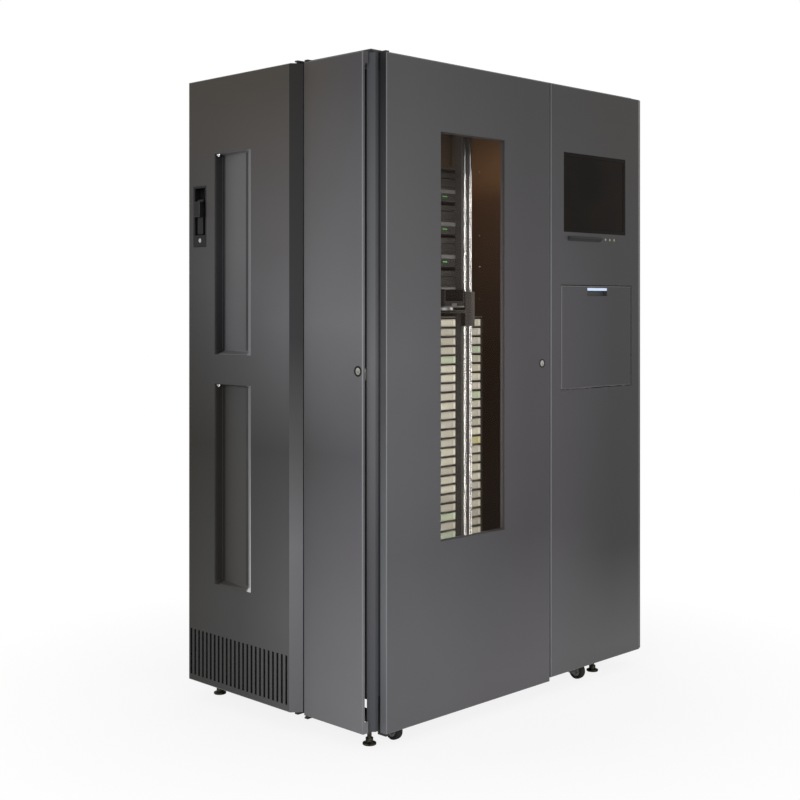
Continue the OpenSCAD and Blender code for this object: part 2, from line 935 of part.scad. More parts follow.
// the hand straddles the turntable's bar and carries two jaws
module gripper_hand()
{
    color([0.25, 0.25, 0.26])
        difference()
        {
            union()
            {
                box([gx - grip_hw, ry - grip_hl, table_z + 12 + slip],
                    [gx + grip_hw, ry + grip_hl - 14, table_z + 26]);
                box([gx - grip_hw, ry - grip_hl, table_z + 26],
                    [gx - grip_hw + 5, ry + grip_hl - 14, table_z + 60]);
                box([gx + grip_hw - 5, ry - grip_hl, table_z + 26],
                    [gx + grip_hw, ry + grip_hl - 14, table_z + 60]);
            }
            box([gx - 10 - slip, ry - grip_hl - eps, table_z],
                [gx + 10 + slip, ry + grip_hl, table_z + 20 + slip]);
            box([gx - 22 - slip, ry + grip_hl - 34, table_z + 22],
                [gx + 22 + slip, ry + grip_hl, table_z + 27]);
        }
}

module gripper_jaw_lower()
{
    color([0.7, 0.7, 0.7])
    {
        box([gx - 22, ry + grip_hl - 33, table_z + 26 + slip],
            [gx + 22, ry + grip_hl - 2, table_z + 29]);
        box([gx - 22, ry + grip_hl - 33, table_z + 29],
            [gx - 18, ry + grip_hl - 16, table_z + 34]);
    }
}

module gripper_jaw_upper()
{
    color([0.7, 0.7, 0.7])
    {
        box([gx - grip_hw + 5 + slip, ry + grip_hl - 33, table_z + 53],
            [gx + grip_hw - 5 - slip, ry + grip_hl - 18, table_z + 57]);
        box([gx - 22, ry + grip_hl - 18, table_z + 53],
            [gx + 22, ry + grip_hl - 2, table_z + 56]);
    }
}

// the display's tray stands in its cut-out, a flange behind the sheet
module display_bezel()
{
    color([0.07, 0.07, 0.07])
        difference()
        {
            union()
            {
                box([disp_x0 + slip, yf, display_z + slip], [disp_x1 - slip, yf + 34, disp_z1 - slip]);
                box([disp_x0 - 8, yf + sheet, display_z - 5], [disp_x1 + 8, yf + 6, disp_z1 + 8]);
            }
            box([disp_x0 + bezel, yf - eps, display_z + bezel],
                [disp_x1 - bezel, yf + 5, disp_z1 - bezel]);
        }
}

module touch_screen()
{
    color([0.1, 0.08, 0.07])
        box([disp_x0 + bezel + slip, yf + 1, display_z + bezel + slip],
            [disp_x1 - bezel - slip, yf + 5, disp_z1 - bezel - slip]);
}

module status_lamps()
{
    color([0.7, 0.9, 0.8])
        for (k = [0:2])
        {
            rod_y(lamp_x + lamp_pitch * k, lamp_z, yf, yf + sheet, 4 - slip);
            rod_y(lamp_x + lamp_pitch * k, lamp_z, yf + sheet, yf + 9, 6);
        }
}

// side, top and bottom plates of the input-output bay, with the door's pins
module io_bay()
{
    color([0.5, 0.5, 0.5])
    {
        box([io_x0 - 5, bay_y0, bay_z0 + rack_t + weld], [io_x0 - 2, bay_y1, bay_z1 - rack_t - weld]);
        rod_x(io_py, io_pz, io_x0 - 5, io_x0 + io_gap + 12, pin_r);
        box([io_x1 + 2, bay_y0, bay_z0 + rack_t + weld], [io_x1 + 5, bay_y1, bay_z1 - rack_t - weld]);
        rod_x(io_py, io_pz, io_x1 - io_gap - 12, io_x1 + 5, pin_r);
        box([io_x0 - 5, bay_y0, bay_z0], [io_x1 + 5, bay_y1, bay_z0 + rack_t]);
        box([io_x0 - 5, bay_y0, bay_z1 - rack_t], [io_x1 + 5, bay_y1, bay_z1]);
        box([ux - rack_t / 2, yf + io_d + 8, bay_z0 + rack_t + weld],
            [ux + rack_t / 2, bay_y1, bay_z1 - rack_t - weld]);
    }
}

module io_shelves()
{
    color([0.3, 0.3, 0.3])
        for (s = [[io_x0 - 2, ux - rack_t / 2], [ux + rack_t / 2, io_x1 + 2]], k = [1:io_cells - 1])
            box([s[0], yf + io_d + 10, bay_z0 + k * cell_pitch],
                [s[1], bay_y1, bay_z0 + k * cell_pitch + rack_t]);
}

module caster_plates()
{
    color([0.6, 0.6, 0.6])
        for (c = casters)
        {
            translate([c[0] - 28, c[1] - 28, base_z - plate_t])
                cube([56, 56, plate_t]);
            translate([c[0], c[1], fork_z - 2])
                cylinder(h = base_z - plate_t - fork_z + 2, r = king_r);
        }
}

// fork of one caster, its hub on the kingpin, its legs trailing towards -Y
module caster_fork(c)
{
    color([0.55, 0.55, 0.55])
        translate([c[0], c[1], 0])
            difference()
            {
                union()
                {
                    translate([0, 0, fork_z])
                        cylinder(h = base_z - plate_t - slip - fork_z, r = 15);
                    box([-wheel_w / 2 - 3.5, -trail - 8, fork_z - 3],
                        [wheel_w / 2 + 3.5, 14, fork_z + 1]);
                    for (x = [-wheel_w / 2 - 3.5, wheel_w / 2 + 0.5])
                        box([x, -trail - 8, wheel_z - 8], [x + 3, 4, fork_z - 2]);
                    rod_x(-trail, wheel_z, -wheel_w / 2 - 3.5, wheel_w / 2 + 3.5, axle_r);
                }
                translate([0, 0, fork_z - 4])
                    cylinder(h = base_z, r = king_r + run);
            }
}

// one wheel: a crowned tread turned about its axle
module caster_wheel(c)
{
    color([0.12, 0.12, 0.12])
        translate([c[0], c[1] - trail, wheel_z])
            rotate([0, 90, 0])
                rotate_extrude()
                    polygon([[axle_r + run, -wheel_w / 2], [wheel_r * 0.4, -wheel_w / 2],
                        [wheel_r * 0.45, -wheel_w / 2 + 3], [wheel_r * 0.8, -wheel_w / 2 + 3],
                        [wheel_r * 0.84, -wheel_w / 2], [wheel_r - 2, -wheel_w / 2],
                        [wheel_r, -wheel_w / 2 + 4], [wheel_r, wheel_w / 2 - 4],
                        [wheel_r - 2, wheel_w / 2], [wheel_r * 0.84, wheel_w / 2],
                        [wheel_r * 0.8, wheel_w / 2 - 3], [wheel_r * 0.45, wheel_w / 2 - 3],
                        [wheel_r * 0.4, wheel_w / 2], [axle_r + run, wheel_w / 2]]);
}

// threaded blocks under the base frame
module foot_brackets()
{
    color([0.5, 0.5, 0.5])
        for (f = feet)
            translate([f[0], f[1], base_z - bracket_h])
                difference()
                {
                    cylinder(h = bracket_h, r = screw_r + 8);
                    translate([0, 0, -eps])
                        cylinder(h = bracket_h + 2 * eps, r = screw_r + run);
                }
}

// one foot: a turned pad and its screw
module foot(f)
{
    color([0.8, 0.8, 0.8])
        translate([f[0], f[1], 0])
            rotate_extrude()
                polygon([[0, 0], [pad_r - 1, 0], [pad_r, 1], [pad_r, 5], [screw_r + 4, 9],
                    [screw_r + 4, 18], [screw_r, 18], [screw_r, base_z - 2], [0, base_z - 2]]);
}

// front door: a folded pan with a rim round the window
module front_door()
{
    color([0.36, 0.36, 0.37])
        difference()
        {
            union()
            {
                translate([door_x0, yf, front_z0])
                    pan(door_w, door_d, leaf_z1 - front_z0);
                box([win_x0 - 12, yf, window_z - 12], [win_x1 + 12, yf + 14, win_z1 + 12]);
                for (x = [win_x0 - 110, win_x1 + 80])
                    box([x, yf, leaf_z0 + 60], [x + 30, yf + 14, leaf_z1 - 60]);
                for (z = [front_z0, leaf_z1 - 18])
                    box([door_x0, yf, z], [front_hx + 10, front_hy + 8, z + 18]);
                rod_y(lock_x, lock_z, yf, yf + 14, lock_r + 5);
            }
            box([win_x0 - slip, yf - eps, window_z - slip],
                [win_x1 + slip, yf + pane_t, win_z1 + slip]);
            box([win_x0 + pane_ledge, yf - eps, window_z + pane_ledge],
                [win_x1 - pane_ledge, yf + 20, win_z1 - pane_ledge]);
            for (z = [front_z0 - eps, leaf_z1 - 15])
                translate([front_hx, front_hy, z])
                    cylinder(h = 15 + eps, r = pin_r + run);
            rod_y(lock_x, lock_z, yf - eps, yf + 20, lock_r + run);
        }
}

module window_pane()
{
    color([0.3, 0.24, 0.2])
        box([win_x0, yf, window_z], [win_x1, yf + pane_t, win_z1]);
}

// lock barrel with its cam pointing down
module front_lock()
{
    color([0.7, 0.7, 0.7])
        difference()
        {
            union()
            {
                rod_y(lock_x, lock_z, yf, yf + door_d + 1, lock_r);
                box([lock_x - 6, yf + door_d + 1, lock_z - cam_l],
                    [lock_x + 6, yf + door_d + 1 + cam_t, lock_z + 6]);
            }
            box([lock_x - 1, yf - eps, lock_z - 4], [lock_x + 1, yf + 3, lock_z + 4]);
        }
}

module narrow_side_door()
{
    x1 = nx + narrow_d;
    color([0.36, 0.36, 0.37])
        difference()
        {
            union()
            {
                difference()
                {
                    box([nx, ny0, leaf_z0], [x1, ny1, leaf_z1]);
                    box([nx + sheet, ny0 + sheet, leaf_z0 + sheet],
                        [x1 + eps, ny1 - sheet, leaf_z1 - sheet]);
                    box([nx + 8, ny0 - eps, leaf_z0 + 30], [x1 + eps, ny0 + sheet + eps, leaf_z1 - 30]);
                }
                box([nx, (ny0 + ny1) / 2 - 15, leaf_z0 + 60],
                    [nx + 13, (ny0 + ny1) / 2 + 15, leaf_z1 - 60]);
                for (z = [leaf_z0, leaf_z1 - 18])
                    box([nx, narrow_hy - 10, z], [narrow_hx + 8, ny1, z + 18]);
                rod_x(nlock_y, lock_z, nx, nx + 12, lock_r + 4);
            }
            for (z = [leaf_z0 - eps, leaf_z1 - 15])
                translate([narrow_hx, narrow_hy, z])
                    cylinder(h = 15 + eps, r = pin_r + run);
            rod_x(nlock_y, lock_z, nx - eps, nx + 20, lock_r + run);
        }
}

module narrow_lock()
{
    color([0.7, 0.7, 0.7])
        difference()
        {
            union()
            {
                rod_x(nlock_y, lock_z, nx, nx + narrow_d + 1, lock_r);
                box([nx + narrow_d + 1, nlock_y - 6, lock_z - ncam_l],
                    [nx + narrow_d + 1 + cam_t, nlock_y + 6, lock_z + 6]);
            }
            box([nx - eps, nlock_y - 1, lock_z - 4], [nx + 3, nlock_y + 1, lock_z + 4]);
        }
}

// outline of the wide door seen from above, grown inwards by t
module wide_outline(t)
{
    polygon([[nx, wy0 + t], [xl + t, wy0 + slope_l + t * 0.6], [xl + t, wy1 - t],
        [xl + wide_d + (t > 0 ? eps : 0), wy1 - t], [xl + wide_d + (t > 0 ? eps : 0), wy0 + t]]);
}

// outline of a scoop seen from above, grown outwards by t
module scoop_outline(t)
{
    y0 = wy0 + scoop_u;
    polygon([[xl + (t > 0 ? 0.5 : -eps), y0 - t], [xl + t, y0 - t], [xl + 9 + t, y0 + fold_w - t / 2],
        [xl + scoop_d + t, y0 + scoop_w + t], [xl + (t > 0 ? 0.5 : -eps), y0 + scoop_w + t]]);
}

// wide side door: a folded pan with a sloped edge, two scoops and a grille
module wide_side_door()
{
    color([0.34, 0.34, 0.35])
        difference()
        {
            union()
            {
                difference()
                {
                    translate([0, 0, wide_z0])
                        linear_extrude(height = wide_z1 - wide_z0)
                            wide_outline(0);
                    translate([0, 0, wide_z0 + sheet])
                        linear_extrude(height = wide_z1 - wide_z0 - 2 * sheet)
                            wide_outline(sheet);
                }
                for (z = [scoop_lo_z, scoop_hi_z])
                    translate([0, 0, z - sheet])
                        linear_extrude(height = scoop_h + 2 * sheet)
                            scoop_outline(sheet);
                intersection()
                {
                    translate([0, 0, wide_z0])
                        linear_extrude(height = wide_z1 - wide_z0)
                            wide_outline(0);
                    for (z = [wide_z0, wide_z1 - 18])
                        box([xl, wy0, z], [wide_hx + 10, wide_hy + 10, z + 18]);
                }
            }
            for (z = [scoop_lo_z, scoop_hi_z])
                translate([0, 0, z])
                    linear_extrude(height = scoop_h)
                        scoop_outline(0);
            for (k = [0:slits - 1])
                box([xl - eps, slit_y + k * slit_pitch, wide_z0 + slit_z],
                    [xl + sheet + eps, slit_y + k * slit_pitch + slit_w,
                    wide_z0 + slit_z + slit_h]);
            box([xl - eps, latch_y0 - slip, latch_z - slip],
                [xl + sheet + eps, latch_y1 + slip, latch_z1 + slip]);
            for (z = [wide_z0 - eps, wide_z1 - 15])
                translate([wide_hx, wide_hy, z])
                    cylinder(h = 15 + eps, r = pin_r + run);
        }
}

// latch housing: a tray with a flange behind the sheet and a pin for the lever
module latch_housing()
{
    color([0.06, 0.06, 0.06])
    {
        difference()
        {
            union()
            {
                box([xl, latch_y0, latch_z], [xl + latch_deep, latch_y1, latch_z1]);
                box([xl + sheet, latch_y0 - 5, latch_z - 5], [xl + sheet + 3, latch_y1 + 5, latch_z1 + 5]);
            }
            box([xl - eps, latch_y0 + 6, latch_z + 34], [xl + latch_deep - 2, latch_y1 - 6, latch_z1 - 6]);
            rod_x(latch_yc, latch_z + 19, xl - eps, xl + latch_deep + eps, 6 + run);
        }
        rod_y(lever_px, lever_pz, latch_y0 + 5, latch_y1 - 5, 2.5);
    }
}

// the lever hangs from its pin; its block stands out from the door
module latch_lever()
{
    color([0.12, 0.12, 0.12])
        difference()
        {
            union()
            {
                rod_y(lever_px, lever_pz, latch_yc - 14, latch_yc + 14, 9);
                box([xl - latch_out, latch_yc - 14, lever_pz - 44], [lever_px, latch_yc + 14, lever_pz]);
                box([xl + 1, latch_yc - lever_w / 2, lever_pz - lever_l],
                    [xl + 1 + lever_t, latch_yc + lever_w / 2, lever_pz]);
            }
            rod_y(lever_px, lever_pz, latch_yc - 20, latch_yc + 20, 2.5 + run);
        }
}

module latch_lock()
{
    color([0.7, 0.7, 0.7])
        difference()
        {
            union()
            {
                rod_x(latch_yc, latch_z + 19, xl, xl + latch_deep, 6);
                box([xl + latch_deep, latch_yc - 4, latch_z + 1],
                    [xl + latch_deep + 3, latch_yc + 4, latch_z + 24]);
            }
            box([xl - eps, latch_yc - 0.8, latch_z + 16], [xl + 3, latch_yc + 0.8, latch_z + 22]);
        }
}

// drop-down door with a lit finger recess at its top edge
module io_door()
{
    x0 = io_x0 + io_gap;
    x1 = io_x1 - io_gap;
    z0 = io_z + io_gap;
    z1 = io_z1 - io_gap;
    color([0.36, 0.36, 0.37])
        difference()
        {
            union()
            {
                translate([x0, yf, z0])
                    pan(x1 - x0, io_d, z1 - z0);
                box([ux - grip_w / 2 - 2, yf, z1 - 32], [ux + grip_w / 2 + 2, yf + 15, z1]);
                for (x = [x0, x1 - 14])
                    box([x, yf, z0], [x + 14, yf + io_d, z0 + io_d / 2 + 7]);
            }
            box([ux - grip_w / 2, yf - eps, z1 - 30], [ux + grip_w / 2, yf + 13, z1 - 6]);
            rod_x(io_py, io_pz, x0 - eps, x0 + 13, pin_r + run);
            rod_x(io_py, io_pz, x1 - 13, x1 + eps, pin_r + run);
        }
}

module io_light_bar()
{
    z1 = io_z1 - io_gap - 6;
    color([0.75, 0.9, 1])
        box([ux - grip_w / 2 + slip, yf + 0.5, z1 - 8], [ux + grip_w / 2 - slip, yf + 9, z1]);
}

base_frame();
frame_posts();
top_frame();
floor_pan();
roof_cover();
right_side_panel();
front_fixed_panel();
rear_panels();
panel_screws();
door_hinges();
rack_walls();
rack_shelves();
cartridges_a();
cartridges_b();
cartridges_c();
drive_cage();
tape_drives();
power_supplies();
controller_box();
power_inlet();
power_switch();
robot_top_rail();
robot_floor_rail();
display_bezel();
touch_screen();
status_lamps();
io_bay();
io_shelves();
caster_plates();
foot_brackets();
front_door();
window_pane();
front_lock();
narrow_side_door();
narrow_lock();
wide_side_door();
latch_housing();
latch_lever();
latch_lock();
io_door();
io_light_bar();
robot_mast();
mast_guide_rods();
lift_carriage();
gripper_turntable();
gripper_hand();
gripper_jaw_upper();
gripper_jaw_lower();
caster_fork(casters[0]);  // caster_fork_1
caster_fork(casters[1]);  // caster_fork_2
caster_fork(casters[2]);  // caster_fork_3
caster_fork(casters[3]);  // caster_fork_4
caster_wheel(casters[0]);  // caster_wheel_1
caster_wheel(casters[1]);  // caster_wheel_2
caster_wheel(casters[2]);  // caster_wheel_3
caster_wheel(casters[3]);  // caster_wheel_4
foot(feet[0]);  // foot_1
foot(feet[1]);  // foot_2
foot(feet[2]);  // foot_3
foot(feet[3]);  // foot_4
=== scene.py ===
# %% [markdown]
# # A data tape library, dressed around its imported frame
# A tape library is a sheet-metal cabinet with cartridge racks, tape drives and a
# small robot inside. The solids give every piece its place and its motion. This
# lesson adds what the solids leave out: rounded folds, finishes, glass, lamps and
# the small parts of the inside. Everything is in metres, in the frame's own axes:
# +Z is up, the operating front faces -Y and the hinged side doors face -X.

# %% Load the frame
import math

import bmesh
import bpy
import numpy as np
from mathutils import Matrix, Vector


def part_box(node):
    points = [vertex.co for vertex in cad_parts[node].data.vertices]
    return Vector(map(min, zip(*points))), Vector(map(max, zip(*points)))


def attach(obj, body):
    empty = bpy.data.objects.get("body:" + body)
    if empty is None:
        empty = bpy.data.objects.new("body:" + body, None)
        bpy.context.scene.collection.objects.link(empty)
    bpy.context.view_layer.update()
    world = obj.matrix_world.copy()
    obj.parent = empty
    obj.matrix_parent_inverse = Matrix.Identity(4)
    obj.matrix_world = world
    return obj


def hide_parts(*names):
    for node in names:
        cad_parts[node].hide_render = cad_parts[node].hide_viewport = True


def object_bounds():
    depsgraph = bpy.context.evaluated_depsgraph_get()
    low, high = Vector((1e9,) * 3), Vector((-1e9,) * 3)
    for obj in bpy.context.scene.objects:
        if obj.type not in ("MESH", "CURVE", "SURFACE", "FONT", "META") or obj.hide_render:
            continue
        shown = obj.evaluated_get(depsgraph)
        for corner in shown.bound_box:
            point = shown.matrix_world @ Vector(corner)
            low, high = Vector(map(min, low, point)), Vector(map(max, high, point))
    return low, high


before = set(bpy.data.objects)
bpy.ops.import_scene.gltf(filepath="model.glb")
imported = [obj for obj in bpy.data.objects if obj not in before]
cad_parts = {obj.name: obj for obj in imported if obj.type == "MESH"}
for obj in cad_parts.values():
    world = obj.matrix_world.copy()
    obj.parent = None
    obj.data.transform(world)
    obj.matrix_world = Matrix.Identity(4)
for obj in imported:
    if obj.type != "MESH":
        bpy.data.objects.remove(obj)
cad_box = [[float(c) for c in corner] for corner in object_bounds()]
MM = 0.001
print("nodes", len(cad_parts), "box", cad_box)

# %% [markdown]
# ## Camera
# The cabinet is seen from its front left corner, level, from a little above the
# middle of its height. A level camera keeps the uprights upright, so the picture
# is framed with a small vertical shift in place of a tilt.

# %% Camera
CAMERA_PLACE = (-2.891, -2.781, 1.147)
CAMERA_TURN = -45.22
LENS = 59.19
SHIFT_UP = -0.1204

camera_data = bpy.data.cameras.new("camera")
camera_data.lens = LENS
camera_data.sensor_width = 36
camera_data.shift_y = SHIFT_UP
camera = bpy.data.objects.new("camera", camera_data)
camera.location = CAMERA_PLACE
camera.rotation_euler = (math.radians(90), 0, math.radians(CAMERA_TURN))
bpy.context.scene.collection.objects.link(camera)
bpy.context.scene.camera = camera
bpy.context.scene.view_settings.view_transform = "Standard"
print("camera at", CAMERA_PLACE)

# %% [markdown]
# ## One small helper for nodes, one for colours
# Colours are written as sRGB hex values, the way a paint chart gives them, and
# turned to the linear values that the shader wants. One function adds a node with
# its settings and its links, so each material below reads as a list of nodes.

# %% Colour and node helpers
def linear(hexcode):
    """sRGB hex to linear RGBA: below 0.04045 a straight line, above it a power of 2.4."""
    code = hexcode.lstrip("#")
    value = np.array([int(code[k:k + 2], 16) for k in (0, 2, 4)]) / 255
    low, high = value / 12.92, ((value + 0.055) / 1.055) ** 2.4
    return (*np.where(value <= 0.04045, low, high).tolist(), 1.0)


def add(tree, kind, links=None, **settings):
    """Adds a node; links maps an input's name or number to a socket or a value."""
    node = tree.nodes.new(kind)
    for name, value in settings.items():
        setattr(node, name, value)
    for name, value in (links or {}).items():
        if isinstance(value, bpy.types.NodeSocket):
            tree.links.new(value, node.inputs[name])
        else:
            node.inputs[name].default_value = value
    return node


def start_material(name, **sockets):
    """A Principled material with fixed values on its own sockets; returns its parts."""
    material = bpy.data.materials.new(name)
    material.use_nodes = True
    tree = material.node_tree
    shader = tree.nodes["Principled BSDF"]
    for socket, value in sockets.items():
        shader.inputs[socket.replace("_", " ")].default_value = value
    place = add(tree, "ShaderNodeTexCoord").outputs["Object"]
    return material, tree, shader, place


def fill_ramp(tree, share, stops):
    """A colour ramp through (position, hex) stops; returns its colour."""
    ramp = add(tree, "ShaderNodeValToRGB", {"Fac": share})
    elements = ramp.color_ramp.elements
    elements[0].position, elements[-1].position = stops[0][0], stops[-1][0]
    elements[0].color, elements[-1].color = linear(stops[0][1]), linear(stops[-1][1])
    for position, tone in stops[1:-1]:
        elements.new(position).color = linear(tone)
    return ramp.outputs["Color"]


print("white is", linear("#ffffff"))

# %% [markdown]
# ## Powder coat
# The cabinet's outer sheets are steel with a satin charcoal powder coat, sprayed
# on as dust and melted in an oven. Over a sheet almost two metres tall the tones
# are painted shade and painted reflection: paler low down and towards some edges,
# where the floor and the lamps would light it, and darkest at the top. So a large
# sheet has two or three columns of a few tones, from the floor to the roof, and the
# tone between two columns is mixed. The melt leaves a fine orange peel, dimples
# about a millimetre across, drawn here at 2.5 mm so that it still shows.

# %% Powder coat
ROOF = cad_box[1][2]
CLOUD_SCALE = 2.6          # clouds of tone about 0.4 m across
PEEL = 2.5 * MM            # orange peel
PEEL_DEPTH = 0.2 * MM


def powder_coat(name, axis, columns, roughness=0.42):
    """Each column is a place on the axis and its (height in metres, tone) stops. Between
    two columns the colour is mixed in proportion to the distance from each."""
    material, tree, shader, place = start_material(name, Specular_IOR_Level=0.2)
    apart = add(tree, "ShaderNodeSeparateXYZ", {0: place}).outputs
    height = add(tree, "ShaderNodeMath", {0: apart["Z"], 1: ROOF}, operation="DIVIDE")
    colour, last = None, None
    # The columns' tones are painted shade and painted reflection, paler low down and darkest
    # near the roof.
    for spot, tones in columns:
        column = fill_ramp(tree, height.outputs[0], [(h / ROOF, tone) for h, tone in tones])
        if colour is not None:
            share = add(tree, "ShaderNodeMapRange", {"Value": apart[axis],
                                                     "From Min": last, "From Max": spot})
            column = add(tree, "ShaderNodeMix", {0: share.outputs["Result"], 6: colour,
                                                 7: column}, data_type="RGBA").outputs[2]
        colour, last = column, spot
    clouds = add(tree, "ShaderNodeTexNoise",
                 {"Vector": place, "Scale": CLOUD_SCALE, "Detail": 2.0}).outputs["Fac"]
    shade = add(tree, "ShaderNodeMapRange", {"Value": clouds, "From Min": 0.3,
                                             "From Max": 0.7, "To Min": 0.96,
                                             "To Max": 1.04}).outputs["Result"]
    cloudy = add(tree, "ShaderNodeVectorMath", {0: colour, 1: shade}, operation="MULTIPLY")
    tree.links.new(cloudy.outputs[0], shader.inputs["Base Color"])
    gloss = add(tree, "ShaderNodeMapRange", {"Value": clouds, "To Min": roughness - 0.05,
                                             "To Max": roughness + 0.07}).outputs["Result"]
    tree.links.new(gloss, shader.inputs["Roughness"])
    peel = add(tree, "ShaderNodeTexNoise",
               {"Vector": place, "Scale": 1 / PEEL, "Detail": 1.0}).outputs["Fac"]
    bump = add(tree, "ShaderNodeBump",
               {"Height": peel, "Strength": 0.08, "Distance": PEEL_DEPTH})
    tree.links.new(bump.outputs["Normal"], shader.inputs["Normal"])
    return material


# Painted shade and painted reflection: each sheet is painted paler low down, darker towards
# the roof, and changes from one side to the other.
front_coat = powder_coat("powder_coat_front_door", "X", [
    (-0.45, [(0.1, "#5f5e60"), (0.5, "#555457"), (1.0, "#585759"), (1.75, "#474748")]),
    (0.05, [(0.1, "#5e5c5f"), (0.5, "#464447"), (1.0, "#4a474a"), (1.75, "#3d3c3d")])])
fixed_coat = powder_coat("powder_coat_fixed_panel", "X", [
    (0.18, [(0.1, "#5e5e60"), (0.5, "#4b484b"), (1.1, "#4a484b"), (1.75, "#3d3c3d")]),
    (0.45, [(0.1, "#5a5a5a"), (0.4, "#3c3c3c"), (1.1, "#3e3d3f"), (1.75, "#3a3836")])])
narrow_coat = powder_coat("powder_coat_narrow_door", "Y", [
    (-0.34, [(0.1, "#727274"), (0.5, "#5f5d61"), (0.75, "#504f53"), (1.1, "#656568"),
             (1.75, "#434143")]),
    (-0.14, [(0.1, "#6b6b6d"), (0.5, "#555557"), (0.75, "#474748"), (1.1, "#636366"),
             (1.75, "#45413d")])])
wide_coat = powder_coat("powder_coat_wide_door", "Y", [
    (-0.08, [(0.3, "#525253"), (0.75, "#3c3c3c"), (1.1, "#5b5a5d"), (1.75, "#3c3732")]),
    (0.11, [(0.3, "#424242"), (0.75, "#323130"), (1.2, "#505052"), (1.75, "#3b352f")]),
    (0.34, [(0.3, "#363533"), (0.75, "#26241f"), (1.25, "#3b3a3b"), (1.75, "#38332d")])])
print("large sheets:", front_coat.name, fixed_coat.name, narrow_coat.name, wide_coat.name)

# %% [markdown]
# ## The same coat on narrow strips
# Slopes, returns and folds are narrow, so one column of tones each is enough. Their
# tones are painted shade: the wide door's slope is painted pale low down and nearly
# black towards the roof, a painted reflection of the dark above. A fold's outer arc is painted
# a little paler: a painted highlight where it would catch the light.

# %% Coats for strips, folds and the back
# Painted shade and painted reflection: the slope's tones go from pale low down to nearly black
# towards the roof.
slope_coat = powder_coat("powder_coat_slope", "Y", [
    (0, [(0.1, "#636265"), (0.5, "#666568"), (0.75, "#4a4a4a"), (1.05, "#28282a"),
         (1.75, "#14110f")])])
# Painted shade: the fixed panel's bevel faces are painted paler near the floor and darker from
# half a metre up.
bevel_coat = powder_coat("powder_coat_bevel", "X", [
    (0, [(0.1, "#5c5c5c"), (0.5, "#424242"), (1.75, "#4a4847")])])
# Painted shade: the corner post is painted paler around a metre up and dark towards the roof.
corner_coat = powder_coat("powder_coat_corner", "X", [
    (0, [(0.1, "#494a4e"), (0.5, "#4c4c4f"), (1.0, "#5c5c5e"), (1.75, "#3a3c3f")])])
# Painted shade: the front door's left return is painted pale low down and nearly black towards
# the roof.
return_coat = powder_coat("powder_coat_door_return", "X", [
    (0, [(0.1, "#66676b"), (0.35, "#6e7073"), (0.9, "#545456"), (1.75, "#252527")])])
# Painted highlight: the folds' outer arcs are painted paler than the sheet around them.
fold_highlight_coat = powder_coat("powder_coat_painted_fold_highlight", "X", [
    (0, [(0.1, "#747476"), (1.1, "#78787a"), (1.75, "#626264")])], 0.36)
# Painted shade: the display's shelf is a darker copy of the panel's coat, so that its top, lit
# from above, stays dark.
shelf_coat = powder_coat("powder_coat_display_shelf", "X", [
    (0, [(1.2, "#343434"), (1.5, "#2c2c2c")])], 0.5)
back_coat = powder_coat("powder_coat_back", "X", [
    (0, [(0.1, "#525254"), (0.7, "#4a4a4c"), (1.2, "#4b4b4d"), (1.75, "#464648")])], 0.5)
roof_coat = powder_coat("powder_coat_roof", "X", [
    (-0.5, [(0.1, "#4c4c4e"), (1.8, "#4c4c4e")]),
    (0.5, [(0.1, "#464648"), (1.8, "#464648")])], 0.5)
# Painted light: the liner is painted paler from 1.5 m up, a pool of the ceiling lamp's light.
liner_enamel_and_painted_light = powder_coat("wall_liner_enamel", "X", [
    (0, [(0.1, "#2f241b"), (1.50, "#3a2c20"), (1.58, "#5a4b3e"), (1.75, "#66574a")])], 0.5)
print("strips:", slope_coat.name, bevel_coat.name, corner_coat.name, fold_highlight_coat.name)

# %% [markdown]
# ## Metals, enamels and moulded plastics
# The frame inside is rolled steel in a coarse dark coat. Hinges, screws and feet
# are zinc plated: bright, slightly yellow, with blotches where the passivation
# ran. The robot's rails are anodised aluminium, drawn with lines along their
# length from the extruding die. The plastics are moulded, with a fine spark grain.

# %% Metals and dark coats
def blotched(name, dark, pale, blotch_mm, metallic, rough, grain_mm=1.2,
             stretch=(1, 1, 1), bump_mm=0.05, gloss=0.5):
    """Two tones mixed by a noise of blotch_mm; a finer noise gives the bump."""
    material, tree, shader, place = start_material(name, Metallic=metallic,
                                                   Specular_IOR_Level=gloss)
    vector = add(tree, "ShaderNodeMapping", {"Vector": place,
                                             "Scale": stretch}).outputs["Vector"]
    noise = add(tree, "ShaderNodeTexNoise", {"Vector": vector, "Detail": 3.0,
                                             "Scale": 1 / (blotch_mm * MM)}).outputs["Fac"]
    tree.links.new(fill_ramp(tree, noise, [(0.35, dark), (0.65, pale)]),
                   shader.inputs["Base Color"])
    dull = add(tree, "ShaderNodeMapRange", {"Value": noise, "From Min": 0.3,
                                            "From Max": 0.7, "To Min": rough[0],
                                            "To Max": rough[1]})
    tree.links.new(dull.outputs["Result"], shader.inputs["Roughness"])
    grain = add(tree, "ShaderNodeTexNoise", {"Vector": vector, "Detail": 1.0,
                                             "Scale": 1 / (grain_mm * MM)}).outputs["Fac"]
    bump = add(tree, "ShaderNodeBump", {"Height": grain, "Strength": 0.3,
                                        "Distance": bump_mm * MM})
    tree.links.new(bump.outputs["Normal"], shader.inputs["Normal"])
    return material


